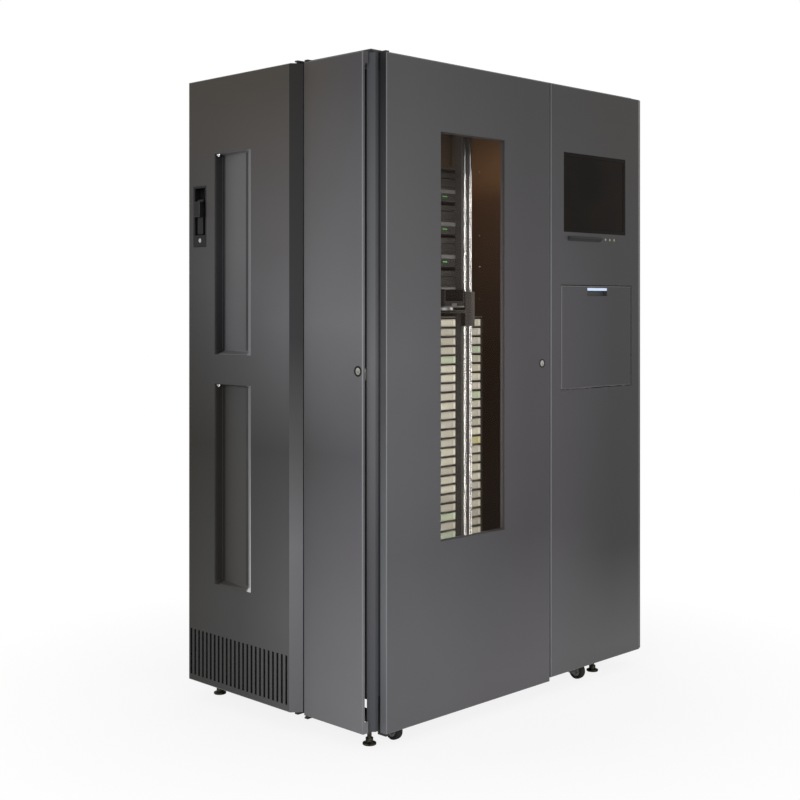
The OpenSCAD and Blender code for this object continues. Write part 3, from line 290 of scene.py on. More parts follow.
DRAWN = (0.1, 4, 4)
frame_coat = blotched("textured_frame_coat", "#2c2b2b", "#373636", 60, 0, (0.5, 0.62),
                      gloss=0.25)
rack_enamel = blotched("rack_enamel", "#2b2622", "#38312b", 45, 0, (0.4, 0.55))
zinc = blotched("zinc_plate", "#a8a69c", "#c9c8c2", 12, 1, (0.25, 0.42))
aged_zinc = blotched("aged_zinc_plate", "#33322d", "#5c5a50", 9, 1, (0.5, 0.65))
aluminium = blotched("anodised_aluminium", "#8f9092", "#a6a7a9", 30, 1, (0.28, 0.4),
                     grain_mm=0.6, stretch=DRAWN)
black_anodised = blotched("black_anodised_aluminium", "#1c1b1a", "#2b2927", 30, 1,
                          (0.3, 0.42), grain_mm=0.6, stretch=(4, 4, 0.1))
bright_rod = blotched("ground_steel_rod", "#c4c4c6", "#e2e2e4", 20, 1, (0.1, 0.2))
satin_steel = blotched("satin_steel", "#9a9a9c", "#b4b4b6", 25, 1, (0.3, 0.42))
black_abs = blotched("moulded_black_abs", "#0d0c0c", "#171615", 18, 0, (0.38, 0.5),
                     grain_mm=0.8, bump_mm=0.08, gloss=0.2)
grey_abs = blotched("moulded_grey_abs", "#4b4d50", "#5b5d5f", 18, 0, (0.35, 0.5), gloss=0.3)
rubber = blotched("wheel_rubber", "#1c1c1c", "#2a2927", 10, 0, (0.6, 0.8), bump_mm=0.15,
                  gloss=0.25)
grey_nylon = blotched("grey_nylon", "#6f6f70", "#858586", 8, 0, (0.35, 0.5))
red_nylon = blotched("red_nylon", "#8e1710", "#a61f16", 8, 0, (0.35, 0.45))
foam = blotched("open_cell_foam", "#161616", "#262626", 4, 0, (0.9, 1.0), bump_mm=0.8,
                gloss=0.05)
print("metals and plastics ready")

# %% [markdown]
# ## Cartridge plastic
# A cartridge's shell is moulded polycarbonate, mid grey and finely sparked so that
# it doesn't show finger marks. No two batches match, so every cartridge carries
# its own tint in a face attribute, and the material reads that.

# %% Cartridge plastic
def tinted_plastic(name, roughness):
    """The tint attribute times a fine speck."""
    material, tree, shader, place = start_material(name, IOR=1.5)
    tint = add(tree, "ShaderNodeAttribute", attribute_name="tint").outputs["Color"]
    speck = add(tree, "ShaderNodeTexNoise",
                {"Vector": place, "Scale": 1 / (3 * MM), "Detail": 2.0}).outputs["Fac"]
    shade = add(tree, "ShaderNodeMapRange",
                {"Value": speck, "To Min": 0.86, "To Max": 1.14}).outputs["Result"]
    colour = add(tree, "ShaderNodeVectorMath", {0: tint, 1: shade}, operation="MULTIPLY")
    tree.links.new(colour.outputs[0], shader.inputs["Base Color"])
    rough = add(tree, "ShaderNodeMapRange",
                {"Value": speck, "To Min": roughness - 0.06, "To Max": roughness + 0.06})
    tree.links.new(rough.outputs["Result"], shader.inputs["Roughness"])
    bump = add(tree, "ShaderNodeBump", {"Height": speck, "Strength": 0.25,
                                        "Distance": 0.1 * MM})
    tree.links.new(bump.outputs["Normal"], shader.inputs["Normal"])
    return material


cartridge_plastic = tinted_plastic("cartridge_polycarbonate", 0.42)
print("cartridge plastic reads the attribute tint")

# %% [markdown]
# ## Glass, screen and lamps
# The window is a flush pane of bronze-tinted safety glass. A thin pane hardly
# bends light, so it is drawn as a tinted film that lets most light straight
# through, with a weak clean gloss on top. The display's glass is nearly black
# when it is off. The lamps are frosted acrylic, lit from behind.

# %% Glass, screen and lamps
def glass_pane(name, tint, share, roughness):
    """share is how much of the view the tint covers; faint streaks change the gloss."""
    material, tree, shader, place = start_material(
        name, Alpha=share, Specular_IOR_Level=0.12, Base_Color=linear(tint))
    streaks = add(tree, "ShaderNodeTexNoise",
                  {"Vector": place, "Scale": 6.0, "Detail": 3.0}).outputs["Fac"]
    rough = add(tree, "ShaderNodeMapRange",
                {"Value": streaks, "To Min": roughness, "To Max": roughness + 0.04})
    tree.links.new(rough.outputs["Result"], shader.inputs["Roughness"])
    return material


def lit_acrylic(name, colour, strength):
    """A lamp's diffuser: brighter along fine prism lines 5 mm apart."""
    material, tree, shader, place = start_material(
        name, Roughness=0.3, Emission_Strength=strength, Base_Color=linear(colour))
    prisms = add(tree, "ShaderNodeTexWave", {"Vector": place, "Scale": 120.0,
                                             "Distortion": 0.4}).outputs["Fac"]
    dim = add(tree, "ShaderNodeMapRange", {"Value": prisms, "To Min": 0.8}).outputs["Result"]
    glow = add(tree, "ShaderNodeVectorMath", {0: linear(colour)[:3], 1: dim},
               operation="MULTIPLY")
    tree.links.new(glow.outputs[0], shader.inputs["Emission Color"])
    return material


def dark_screen(name, edge, middle):
    """An unlit display: a faint warm bloom, and gloss with a trace of finger marks."""
    material, tree, shader, place = start_material(name, Specular_IOR_Level=0.05)
    bloom = add(tree, "ShaderNodeTexNoise",
                {"Vector": place, "Scale": 5.0, "Detail": 1.0}).outputs["Fac"]
    tree.links.new(fill_ramp(tree, bloom, [(0.3, edge), (0.7, middle)]),
                   shader.inputs["Base Color"])
    marks = add(tree, "ShaderNodeTexNoise",
                {"Vector": place, "Scale": 60.0, "Detail": 4.0}).outputs["Fac"]
    rough = add(tree, "ShaderNodeMapRange",
                {"Value": marks, "To Min": 0.14, "To Max": 0.26}).outputs["Result"]
    tree.links.new(rough, shader.inputs["Roughness"])
    return material


window_glass = glass_pane("bronze_safety_glass", "#2a2018", 0.2, 0.02)
screen_glass = dark_screen("display_glass", "#0b0704", "#17100a")
screen_frame = dark_screen("display_frame_glass", "#0d0a08", "#17120e")
lamp_acrylic = lit_acrylic("status_lamp_acrylic", "#8c8468", 0.06)
light_bar_acrylic = lit_acrylic("light_bar_acrylic", "#b4c4dc", 0.45)
drive_lamp = lit_acrylic("drive_lamp_acrylic", "#5fd06a", 0.8)
print("glass and lamps ready")

# %% [markdown]
# ## Rounded folds on the carried-over solids
# A folded sheet never has a knife edge: its outer corner is an arc of about the
# sheet's thickness, and that arc is what catches the light along a door's edge.
# The solids have sharp corners. So each visible one is copied, its doubles are
# merged, its triangles are joined back into whole faces, and the edges that
# stand out are rounded. The copy then stands for the solid. Where one solid has
# two finishes, a rule on each face's middle and direction picks its material.

# %% Rounding a solid's copy
def eased(node, body, material, radius, segments=3, chosen=None, angle=40,
          zones=(), moved=None):
    """chosen(lo, hi) says which sharp edges to round; zones are (material, rule) pairs,
    and a rule takes the faces' middles and directions. moved(points) shifts corners."""
    shell = bmesh.new()
    shell.from_mesh(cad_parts[node].data)
    bmesh.ops.remove_doubles(shell, verts=shell.verts, dist=2e-5)
    if moved is not None:
        for vertex, spot in zip(shell.verts, moved(np.array([v.co for v in shell.verts]))):
            vertex.co = spot
    bmesh.ops.dissolve_limit(shell, angle_limit=math.radians(0.6), verts=shell.verts,
                             edges=shell.edges)
    sharp = [edge for edge in shell.edges
             if len(edge.link_faces) == 2
             and abs(edge.calc_face_angle_signed(0)) > math.radians(angle)]
    if chosen is not None and sharp:
        ends = np.array([[v.co for v in edge.verts] for edge in sharp])
        keep = chosen(ends.min(axis=1), ends.max(axis=1))
        sharp = [edge for edge, kept in zip(sharp, keep) if kept]
    bmesh.ops.bevel(shell, geom=sharp, offset=radius, offset_type="OFFSET",
                    segments=segments, profile=0.5, affect="EDGES", clamp_overlap=False)
    mesh = bpy.data.meshes.new("eased_" + node)
    shell.to_mesh(mesh)
    shell.free()
    mesh.materials.append(material)
    count = len(mesh.polygons)
    middle, towards = np.zeros(3 * count), np.zeros(3 * count)
    mesh.polygons.foreach_get("center", middle)
    mesh.polygons.foreach_get("normal", towards)
    picked = np.zeros(count, int)
    for number, (zone_material, rule) in enumerate(zones, 1):
        mesh.materials.append(zone_material)
        picked[rule(middle.reshape(-1, 3), towards.reshape(-1, 3))] = number
    mesh.polygons.foreach_set("material_index", picked)
    piece = bpy.data.objects.new("eased_" + node, mesh)
    bpy.context.scene.collection.objects.link(piece)
    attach(piece, body)
    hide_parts(node)
    print(piece.name, count, "faces,", len(sharp), "edges rounded")
    return piece


def outer_rim(axis, value, box, margin=2e-3, tolerance=2e-4):
    """Chooses edges in the plane axis = value that run along the outside of box."""
    lowest, highest = (np.array(corner) for corner in box)

    def choose(lo, hi):
        flat = (abs(lo[:, axis] - value) < tolerance) & (abs(hi[:, axis] - value) < tolerance)
        side = np.zeros(len(lo), bool)
        for k in (k for k in range(3) if k != axis):
            side |= abs(hi[:, k] - lowest[k]) < margin
            side |= abs(lo[:, k] - highest[k]) < margin
        return flat & side
    return choose


def arcs(middle, towards):
    """Faces of a rounded fold: their direction lies well between two axes."""
    return abs(towards).max(axis=1) < 0.985


FOLD = 2.4 * MM
front, fixed, narrow, wide, right, rear, io_door = (
    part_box(name) for name in ("front_door", "front_fixed_panel", "narrow_side_door",
                              "wide_side_door", "right_side_panel", "rear_panels",
                              "io_door"))
face_y, side_x = front[0][1], wide[0][0]
print("front face", round(face_y, 4), "wide door's face", round(side_x, 4))

# %% [markdown]
# The window's pane is bonded to a ledge behind it. On the real door the ledge is
# almost as narrow as the bead of glue, so its inner corners move out to 1.5 mm
# from the pane's edge, and the racks show right up to the edge of the glass.

# %% Doors and panels with rounded folds
pane = np.array(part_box("window_pane"))
LEDGE, REACH = 1.5 * MM, 16 * MM


def narrow_ledge(points):
    """Corners between 1.5 and 16 mm inside the pane's edge go out to 1.5 mm from it."""
    points = points.copy()
    inside = {k: (points[:, k] > pane[0][k] - REACH) & (points[:, k] < pane[1][k] + REACH)
              for k in (0, 2)}
    for k, other in ((0, 2), (2, 0)):
        low = inside[other] & (abs(points[:, k] - pane[0][k] - REACH / 2) < REACH / 2 - LEDGE)
        high = inside[other] & (abs(points[:, k] - pane[1][k] + REACH / 2) < REACH / 2 - LEDGE)
        points[low, k] = pane[0][k] + LEDGE
        points[high, k] = pane[1][k] - LEDGE
    return points


# Some zones paint light: the arcs take a painted highlight, and the slope, return, bevel and
# shelf coats are darker or paler copies of the coat, painted shade.
eased("front_door", "front_door", front_coat, FOLD,
      chosen=outer_rim(1, face_y, front), moved=narrow_ledge,
      zones=[(fold_highlight_coat, arcs),
             (return_coat, lambda m, t: (t[:, 0] < -0.9) & (m[:, 0] < front[0][0] + MM))])
eased("front_fixed_panel", "cabinet", fixed_coat, FOLD,
      chosen=outer_rim(1, face_y, fixed),
      zones=[(fold_highlight_coat, arcs),
             (bevel_coat, lambda m, t: (t[:, 0] > 0.35) & (t[:, 0] < 0.5)
              & (abs(t[:, 2]) < 0.1)),
             (shelf_coat, lambda m, t: m[:, 1] < face_y - 0.5 * MM),
             (back_coat, lambda m, t: t[:, 0] > 0.9)])
eased("io_door", "io_door", fixed_coat, 1.5 * MM, segments=2,
      chosen=outer_rim(1, face_y, io_door), zones=[(fold_highlight_coat, arcs)])
eased("narrow_side_door", "narrow_side_door", narrow_coat, FOLD,
      chosen=outer_rim(0, narrow[0][0], narrow), zones=[(fold_highlight_coat, arcs)])
eased("wide_side_door", "wide_side_door", wide_coat, FOLD,
      chosen=outer_rim(0, side_x, wide),
      zones=[(frame_coat, lambda m, t: m[:, 0] > side_x + 3 * MM),
             (fold_highlight_coat, arcs),
             (slope_coat, lambda m, t: (t[:, 0] < -0.5) & (t[:, 1] < -0.5)
              & (abs(t[:, 2]) < 0.1))])
eased("right_side_panel", "cabinet", back_coat, FOLD,
      chosen=outer_rim(0, right[1][0], right), zones=[(fold_highlight_coat, arcs)])
eased("rear_panels", "cabinet", back_coat, 1.6 * MM, segments=2,
      chosen=outer_rim(1, rear[1][1], rear))

# %% [markdown]
# ## Finishes on the solids that stay
# Most inner parts already have the right shape, so they only get their finish.
# A table says which material each solid takes; the slots stay as the record has
# them, because only the material in each slot changes.

# %% Assign finishes
FINISHES = {
    frame_coat: ["base_frame", "top_frame", "drive_cage", "robot_mast", "floor_pan",
                 "door_hinges", "foot_brackets"],
    corner_coat: ["frame_posts"],
    roof_coat: ["roof_cover"],
    rack_enamel: ["rack_walls", "rack_shelves", "io_shelves"],
    zinc: ["panel_screws", "caster_plates", "front_lock", "narrow_lock", "latch_lock",
           "io_bay"],
    aged_zinc: [],
    aluminium: ["robot_top_rail", "robot_floor_rail", "gripper_turntable"],
    bright_rod: ["mast_guide_rods"],
    black_abs: ["tape_drives", "power_inlet", "latch_housing", "latch_lever",
                "lift_carriage", "gripper_hand"],
    satin_steel: ["power_supplies", "controller_box", "gripper_jaw_upper",
                  "gripper_jaw_lower"],
    red_nylon: ["power_switch"],
    window_glass: ["window_pane"],
    screen_glass: ["touch_screen"],
    screen_frame: ["display_bezel"],
    lamp_acrylic: ["status_lamps"],
    light_bar_acrylic: ["io_light_bar"],
}
for number in range(1, 5):
    FINISHES[zinc].append(f"caster_fork_{number}")
    FINISHES[aged_zinc].append(f"foot_{number}")
    FINISHES.setdefault(rubber, []).append(f"caster_wheel_{number}")
for material, names in FINISHES.items():
    for name in names:
        for material_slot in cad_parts[name].material_slots:
            material_slot.material = material
print(sum(len(names) for names in FINISHES.values()), "solids finished")

# %% [markdown]
# ## Surfaces as arrays
# Every new shape below is a grid of points worked out at once with numpy. A grid
# needs only two things more: the faces between its rows and columns, and a cap
# where a row closes on itself.

# %% Grid and mesh helpers
def grid_faces(rows, columns, wrap=True):
    """Quads between neighbouring rows; wrap joins the last column to the first."""
    row = np.arange(rows - 1)[:, None]
    column = np.arange(columns if wrap else columns - 1)[None, :]
    right_column = (column + 1) % columns
    corners = (row * columns + column, row * columns + right_column,
               (row + 1) * columns + right_column, (row + 1) * columns + column)
    return np.stack(np.broadcast_arrays(*corners), axis=-1).reshape(-1, 4)


def rounded_blocks(centres, sizes, radius, around=8, up=4):
    """Many rounded blocks at once. Each is a small sphere whose eight parts are pushed
    out to the block's corners: point = centre + sign(n) * (size / 2 - r) + r * n."""
    centres, sizes = np.atleast_2d(centres), np.atleast_2d(sizes)
    turn = (np.arange(around) + 0.5) * 2 * np.pi / around
    rise = (np.arange(up) + 0.5) * np.pi / up
    normal = np.stack([np.sin(rise)[:, None] * np.cos(turn)[None, :],
                       np.sin(rise)[:, None] * np.sin(turn)[None, :],
                       np.repeat(np.cos(rise)[:, None], around, axis=1)], axis=-1)
    normal = normal.reshape(-1, 3)
    reach = normal / abs(normal).max(axis=0)
    count = len(normal)
    half = np.broadcast_to(sizes, centres.shape)[:, None, :] / 2
    points = centres[:, None, :] + np.sign(normal) * (half - radius) + radius * reach
    quads = grid_faces(up, around)[:, ::-1]
    starts = count * np.arange(len(centres))[:, None, None]
    faces = (quads[None] + starts).reshape(-1, 4)
    first = np.arange(around)
    caps = np.stack([first, (up - 1) * around + first[::-1]])
    caps = (caps[None] + starts).reshape(-1, around)
    return points.reshape(-1, 3), faces.tolist() + caps.tolist()


def blocks(*specs):
    """Rounded blocks in millimetres: each spec is (low corner, high corner, radius)."""
    shapes = []
    for low, high, radius in specs:
        low, high = np.array(low, float) * MM, np.array(high, float) * MM
        shapes.append(rounded_blocks((low + high) / 2, high - low, radius * MM))
    return joined(*shapes)


def turned(profile, centre, axis, around=32):
    """A profile of (distance along the axis, radius) pairs, in millimetres, turned about
    the axis: radius times the cosine and sine of the angle on the other two axes."""
    profile = np.asarray(profile, float) * MM
    turn = np.arange(around) * 2 * np.pi / around
    first, second = (k for k in range(3) if k != axis)
    points = np.zeros((len(profile), around, 3))
    points[..., axis] = profile[:, 0, None]
    points[..., first] = profile[:, 1, None] * np.cos(turn)
    points[..., second] = profile[:, 1, None] * np.sin(turn)
    points = points.reshape(-1, 3) + np.asarray(centre, float)
    last = (len(profile) - 1) * around + np.arange(around)
    return points, (grid_faces(len(profile), around).tolist()
                    + [np.arange(around)[::-1].tolist(), last.tolist()])


def joined(*shapes):
    """Several (points, faces) pairs as one."""
    points, faces, start = [], [], 0
    for shape_points, shape_faces in shapes:
        points.append(shape_points)
        faces += [[corner + start for corner in face] for face in shape_faces]
        start += len(shape_points)
    return np.concatenate(points), faces


def make_piece(name, shape, body, material, smooth=False, tints=None, replaces=(),
               wall=None):
    """Puts points and faces in a mesh at the origin, faces outwards, and sets it riding.
    A wall gives an open sheet its thickness, away from its outer side."""
    points, faces = shape
    mesh = bpy.data.meshes.new(name)
    mesh.from_pydata(points.tolist(), [], faces if isinstance(faces, list) else faces.tolist())
    if wall is None:
        shell = bmesh.new()
        shell.from_mesh(mesh)
        bmesh.ops.recalc_face_normals(shell, faces=shell.faces)
        shell.to_mesh(mesh)
        shell.free()
    if tints is not None:
        layer = mesh.attributes.new("tint", "FLOAT_COLOR", "FACE")
        layer.data.foreach_set("color", np.asarray(tints, float).ravel())
    mesh.materials.append(material)
    if smooth:
        mesh.shade_smooth()
        mesh.set_sharp_from_angle(angle=math.radians(38))
    piece = bpy.data.objects.new(name, mesh)
    bpy.context.scene.collection.objects.link(piece)
    if wall is not None:
        solid = piece.modifiers.new("wall", "SOLIDIFY")
        solid.thickness, solid.offset = wall, -1
    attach(piece, body)
    if replaces:
        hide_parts(*replaces)
    print(name, len(mesh.polygons), "faces")
    return piece


print("helpers ready")

# %% [markdown]
# ## Scoops in the wide side door
# Two tall shallow hollows are pressed into the wide door. Seen from above, a
# hollow starts at a folded strip, runs deeper towards the rear and ends at a
# steep wall. A press can't leave a knife edge, so depth is a smooth function of
# the distance across, and it fades out over a short length at both ends. The
# sheet is a grid of depth values; the coat's columns follow the same distances.

# %% Scoop surfaces
SCOOP_FRONT = 187 * MM
SCOOP_REAR = 123 * MM
SCOOP_HEIGHT = 570 * MM
STRIP_WIDTH = 22 * MM
STRIP_DEPTH = 8.5 * MM
SLOPE_DEPTH = 16 * MM
SHEET_GAP = 0.3 * MM
SCOOP_LOWS = {"scoop_lower": 0.350, "scoop_upper": 1.003}
scoop_y0 = wide[0][1] + SCOOP_FRONT
scoop_y1 = wide[1][1] - SCOOP_REAR
STRIP, NEAR, FAR, WALL = (scoop_y0 + 0.013, scoop_y0 + 0.022, scoop_y1 - 0.024,
                          scoop_y1 - 0.012)
# The scoops' tones are painted light: a painted highlight on the folded strip, brightest low
# down, and painted shade deepening to near black at the steep rear wall.
scoop_coats = {
    "scoop_lower": powder_coat("powder_coat_lower_scoop", "Y", [
        (STRIP, [(0.35, "#c8c8c8"), (0.5, "#aeaeae"), (0.75, "#757577"), (0.93, "#686869")]),
        (NEAR, [(0.35, "#42413f"), (0.93, "#3c3b3b")]),
        (FAR, [(0.35, "#3e3d3b"), (0.93, "#3a3938")]),
        (WALL, [(0.35, "#262422"), (0.93, "#201e1c")])]),
    "scoop_upper": powder_coat("powder_coat_upper_scoop", "Y", [
        (STRIP, [(1.0, "#6e6e72"), (1.3, "#77787c"), (1.57, "#6a6a6c")]),
        (NEAR, [(1.0, "#4e4e50"), (1.3, "#5a5a5c"), (1.57, "#565656")]),
        (FAR, [(1.0, "#545456"), (1.3, "#5a5a5b"), (1.57, "#565656")]),
        (WALL, [(1.0, "#18181a"), (1.3, "#262628"), (1.57, "#202020")])]),
}


def smooth_step(value):
    """0 below 0, 1 above 1 and 3v^2 - 2v^3 between."""
    value = np.clip(value, 0, 1)
    return value * value * (3 - 2 * value)


def scoop_surface(low_z):
    """x = face + depth(y) * fade(z). Depth goes to 8.5 mm over the strip, then evenly to
    24.5 mm, then back to 0 over the last 7 mm; fade is a smooth step at both ends."""
    y = np.concatenate([np.linspace(scoop_y0, scoop_y0 + 0.024, 12)[:-1],
                        np.linspace(scoop_y0 + 0.024, scoop_y1 - 0.009, 30)[:-1],
                        np.linspace(scoop_y1 - 0.009, scoop_y1 - 0.0003, 12)])
    high_z = low_z + SCOOP_HEIGHT
    z = np.concatenate([low_z + np.linspace(0.0003, 0.016, 9)[:-1],
                        np.linspace(low_z + 0.016, high_z - 0.008, 40)[:-1],
                        high_z - np.linspace(0.008, 0.0003, 8)])
    strip = smooth_step((y - scoop_y0) / STRIP_WIDTH)
    slope = np.clip((y - scoop_y0 - 0.020) / (scoop_y1 - scoop_y0 - 0.027), 0, 1)
    depth = STRIP_DEPTH * strip + SLOPE_DEPTH * slope
    depth *= 1 - smooth_step((y - scoop_y1 + 0.0075) / 0.0070)
    fade = (smooth_step((z - low_z) / 0.013)
            * smooth_step((high_z - z) / 0.006))
    x = side_x + SHEET_GAP + depth[None, :] * fade[:, None]
    points = np.stack([x, np.broadcast_to(y, x.shape),
                       np.broadcast_to(z[:, None], x.shape)], axis=-1).reshape(-1, 3)
    return points, grid_faces(len(z), len(y), wrap=False)


for name, low_z in SCOOP_LOWS.items():
    points, faces = scoop_surface(low_z)
    make_piece(name, (points, faces[:, ::-1]), "wide_side_door", scoop_coats[name],
               smooth=True, wall=0.7 * MM)

# %% [markdown]
# ## Scoop clips and the grille's foam
# A bright spring clip at the top of each hollow hooks the pressed sheet to the
# door's frame. Behind the grille lies a dust mat of open-cell foam, cut with an
# egg-crate surface. It is a grid too: thickness = a sine across times a sine up.

# %% Clips and foam
for name, low_z in SCOOP_LOWS.items():
    top = (low_z + SCOOP_HEIGHT) / MM
    rear_y = scoop_y1 / MM
    face_x = side_x / MM
    make_piece("clip_" + name, blocks(
        ((face_x + 0.6, rear_y - 22, top - 6.0), (face_x + 4.5, rear_y - 9, top - 1.5), 1.2),
        ((face_x + 2.0, rear_y - 18, top - 9.0), (face_x + 4.5, rear_y - 12, top - 4), 0.8)),
        "wide_side_door", bright_rod)

FOAM_PITCH = 18 * MM
FOAM_WAVE = 1.8 * MM
FOAM_SET = 5.5 * MM
FOAM_ROWS, FOAM_COLUMNS = 40, 120
foam_y = np.linspace(wide[0][1] + 0.030, wide[1][1] - 0.006, FOAM_COLUMNS)
foam_z = np.linspace(wide[0][2] + 0.012, wide[0][2] + 0.156, FOAM_ROWS)
waves = np.outer(np.sin((foam_z - foam_z[0]) * 2 * np.pi / FOAM_PITCH),
                 np.sin((foam_y - foam_y[0]) * 2 * np.pi / FOAM_PITCH))
foam_x = side_x + FOAM_SET + FOAM_WAVE * waves
foam_points = np.stack([foam_x, np.broadcast_to(foam_y, foam_x.shape),
                        np.broadcast_to(foam_z[:, None], foam_x.shape)],
                       axis=-1).reshape(-1, 3)
foam_faces = grid_faces(FOAM_ROWS, FOAM_COLUMNS, wrap=False)[:, ::-1]
make_piece("grille_foam", (foam_points, foam_faces),
           "wide_side_door", foam, smooth=True, wall=8 * MM)

# %% [markdown]
# ## Lock rosettes and the latch
# A lock sits in a round rosette: a washer with a raised rim, turned on a lathe, so
# its shape is one profile turned about the lock's axis. The latch has a grey cast
# block with a bright rivet, and a finger lip at the lever's lower end.

# %% Locks and latch
def rosette(name, node, body, axis, inner, outer):
    """The profile climbs from the sheet to a rounded rim and falls to the barrel."""
    low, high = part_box(node)
    centre = [(a + b) / 2 for a, b in zip(low, high)]
    centre[2] = high[2] - LOCK_R
    centre[axis] = low[axis]
    profile = [(-0.1, inner), (-1.1, inner), (-1.5, inner + 0.8), (-1.5, outer - 1.6),
               (-1.1, outer - 0.5), (-0.1, outer)]
    make_piece(name, turned_ring(profile, centre, axis), body, black_abs,
               smooth=True)


def turned_ring(profile, centre, axis, around=36):
    """A closed profile turned about the axis: its last row joins its first."""
    points, faces = turned(profile, centre, axis, around)
    rows = len(profile)
    side = [face for face in faces if len(face) == 4]
    column = np.arange(around)
    last, right_column = (rows - 1) * around, (column + 1) % around
    seam = np.stack([last + column, last + right_column, right_column, column], axis=-1)
    return points, side + seam.tolist()


LOCK_R = 9 * MM
rosette("front_lock_rosette", "front_lock", "front_door", 1, 9.3, 12.5)
rosette("narrow_lock_rosette", "narrow_lock", "narrow_side_door", 0, 9.3, 14)

lever = [[c / MM for c in corner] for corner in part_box("latch_lever")]
lever_x, lever_mid = lever[0][0], (lever[0][1] + lever[1][1]) / 2
lever_top = lever[1][2] - 9
make_piece("latch_block_face", blocks(
    ((lever_x + 0.05, lever_mid - 13.6, lever_top - 43.6),
     (lever_x + 3.0, lever_mid + 13.6, lever_top - 0.6), 1.2)),
    "latch_lever", grey_abs)
make_piece("latch_rivet", turned([(-0.0, 0.4), (0.0, 3.0), (0.9, 3.6), (2.4, 3.6)],
                                 ((lever_x + 0.02) * MM, (lever_mid + 2) * MM,
                                  (lever_top - 22) * MM), 0),
           "latch_lever", bright_rod, smooth=True)

# %% [markdown]
# ## Cartridges
# Each cartridge is a rounded shell with a grip step on both sides of its front
# end, a raised label bed that is left blank, and a pale write-protect slide at
# one side. There are well over a hundred, so each is only a few rounded blocks.

# %% Cartridges
rng = np.random.default_rng(4)
CARTRIDGE = np.array([105, 102, 21.5]) * MM
GREYS = ["#a3a297", "#9b9a90", "#a9a89d", "#949389", "#a09f98"]
ROWS = 32


def cartridges(node, columns):
    """Shell, two grip ends, label bed and slide for every place in the columns."""
    low, high = (np.array(corner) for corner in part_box(node))
    pitch_z = (high[2] - low[2] - CARTRIDGE[2]) / (ROWS - 1)
    pitch_x = (high[0] - low[0] - CARTRIDGE[0]) / max(columns - 1, 1)
    column, row = np.meshgrid(np.arange(columns), np.arange(ROWS))
    corner = low + np.stack([column * pitch_x, 0 * column, row * pitch_z],
                            axis=-1).reshape(-1, 3)
    parts = [  # middle, size and radius in millimetres, and tone
        ((52.5, 53.5, 10.75), (105, 97, 21.5), 1.6, 1.0),
        ((53, 4.6, 10.75), (89, 8, 20.6), 1.2, 0.97),
        ((48, 1.2, 10.75), (66, 1.6, 13), 0.5, 1.1),
        ((92, 1.4, 10.75), (9, 2.0, 15), 0.5, 1.45),
    ]
    tone = np.array([linear(g)[:3] for g in GREYS])[rng.integers(0, len(GREYS), len(corner))]
    tone *= rng.uniform(0.92, 1.08, (len(corner), 1))
    odd = rng.random(len(corner))
    tone[odd < 0.05] *= (1.15, 0.9, 0.85)
    tone[(odd > 0.05) & (odd < 0.1)] *= (0.88, 1.04, 0.9)
    tone[(odd > 0.1) & (odd < 0.13)] *= (1.15, 1.12, 0.75)
    shapes, tints = [], []
    for centre, size, radius, shade in parts:
        points, faces = rounded_blocks(corner + np.array(centre) * MM,
                                       np.array(size) * MM, radius * MM)
        shapes.append((points, faces))
        part_tone = np.minimum(tone * shade, 1)
        sides = (len(faces) - 2 * len(corner)) // len(corner)
        colour = np.concatenate([np.repeat(part_tone, sides, axis=0),
                                 np.repeat(part_tone, 2, axis=0)])
        tints.append(np.c_[colour, np.ones(len(colour))])
    make_piece("detailed_" + node, joined(*shapes), "cabinet", cartridge_plastic,
               tints=np.concatenate(tints), replaces=[node])


cartridges("cartridges_a", 1)
cartridges("cartridges_b", 1)
cartridges("cartridges_c", 2)

# %% [markdown]
# ## Tape drives
# A drive shows a moulded front with a spring flap in its mouth, an eject button, a
# paler strip under the mouth and three small lamps. All of it is placed from the
# drives' box, so it follows their number and their pitch.

# %% Drive fronts
DRIVE_PITCH, DRIVE_H, MOUTH_Z, MOUTH_W = 98, 84, 40, 110
drive_low, drive_high = (np.array(corner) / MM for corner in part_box("tape_drives"))
drive_count = int(round((drive_high[2] - drive_low[2] - DRIVE_H) / DRIVE_PITCH)) + 1
dark_parts, grey_parts, lamp_parts = [], [], []
for number in range(drive_count):
    y, z = drive_low[1], drive_low[2] + number * DRIVE_PITCH
    middle = (drive_low[0] + drive_high[0]) / 2
    left, right_edge = middle - MOUTH_W / 2, middle + MOUTH_W / 2
    dark_parts.append(((left + 0.6, y + 3.2, z + MOUTH_Z + 0.6),
                       (right_edge - 0.6, y + 5.4, z + MOUTH_Z + 26), 1.0))
    dark_parts.append(((left - 3, y - 1.2, z + MOUTH_Z + 27.4),
                       (right_edge + 3, y + 0.6, z + MOUTH_Z + 31), 0.6))
    grey_parts.append(((left - 3, y - 1.0, z + 22), (right_edge - 26, y + 0.5, z + 33), 0.5))
    grey_parts.append(((right_edge - 18, y - 1.4, z + 22), (right_edge - 2, y + 0.6, z + 30),
                       0.9))
    for step in range(3):
        spot = left + 6 + 7 * step
        lamp_parts.append(((spot, y - 0.7, z + 11), (spot + 3.4, y + 0.5, z + 13.4), 0.5))
make_piece("drive_flaps", blocks(*dark_parts), "cabinet", black_abs)
make_piece("drive_strips", blocks(*grey_parts), "cabinet", grey_abs)
make_piece("drive_lamps", blocks(*lamp_parts), "cabinet", drive_lamp)
print(drive_count, "drive fronts")

# %% [markdown]
# ## Cage screws and the wall liner
# Domed screws hold the drive cage's shelves. A screw head is a low dome, turned
# from a profile about its own axis. The right-hand wall behind the aisle carries
# a thin liner sheet in a warm enamel, painted paler near the top: a painted pool of the
# ceiling lamp's light, on top of that lamp's real light.

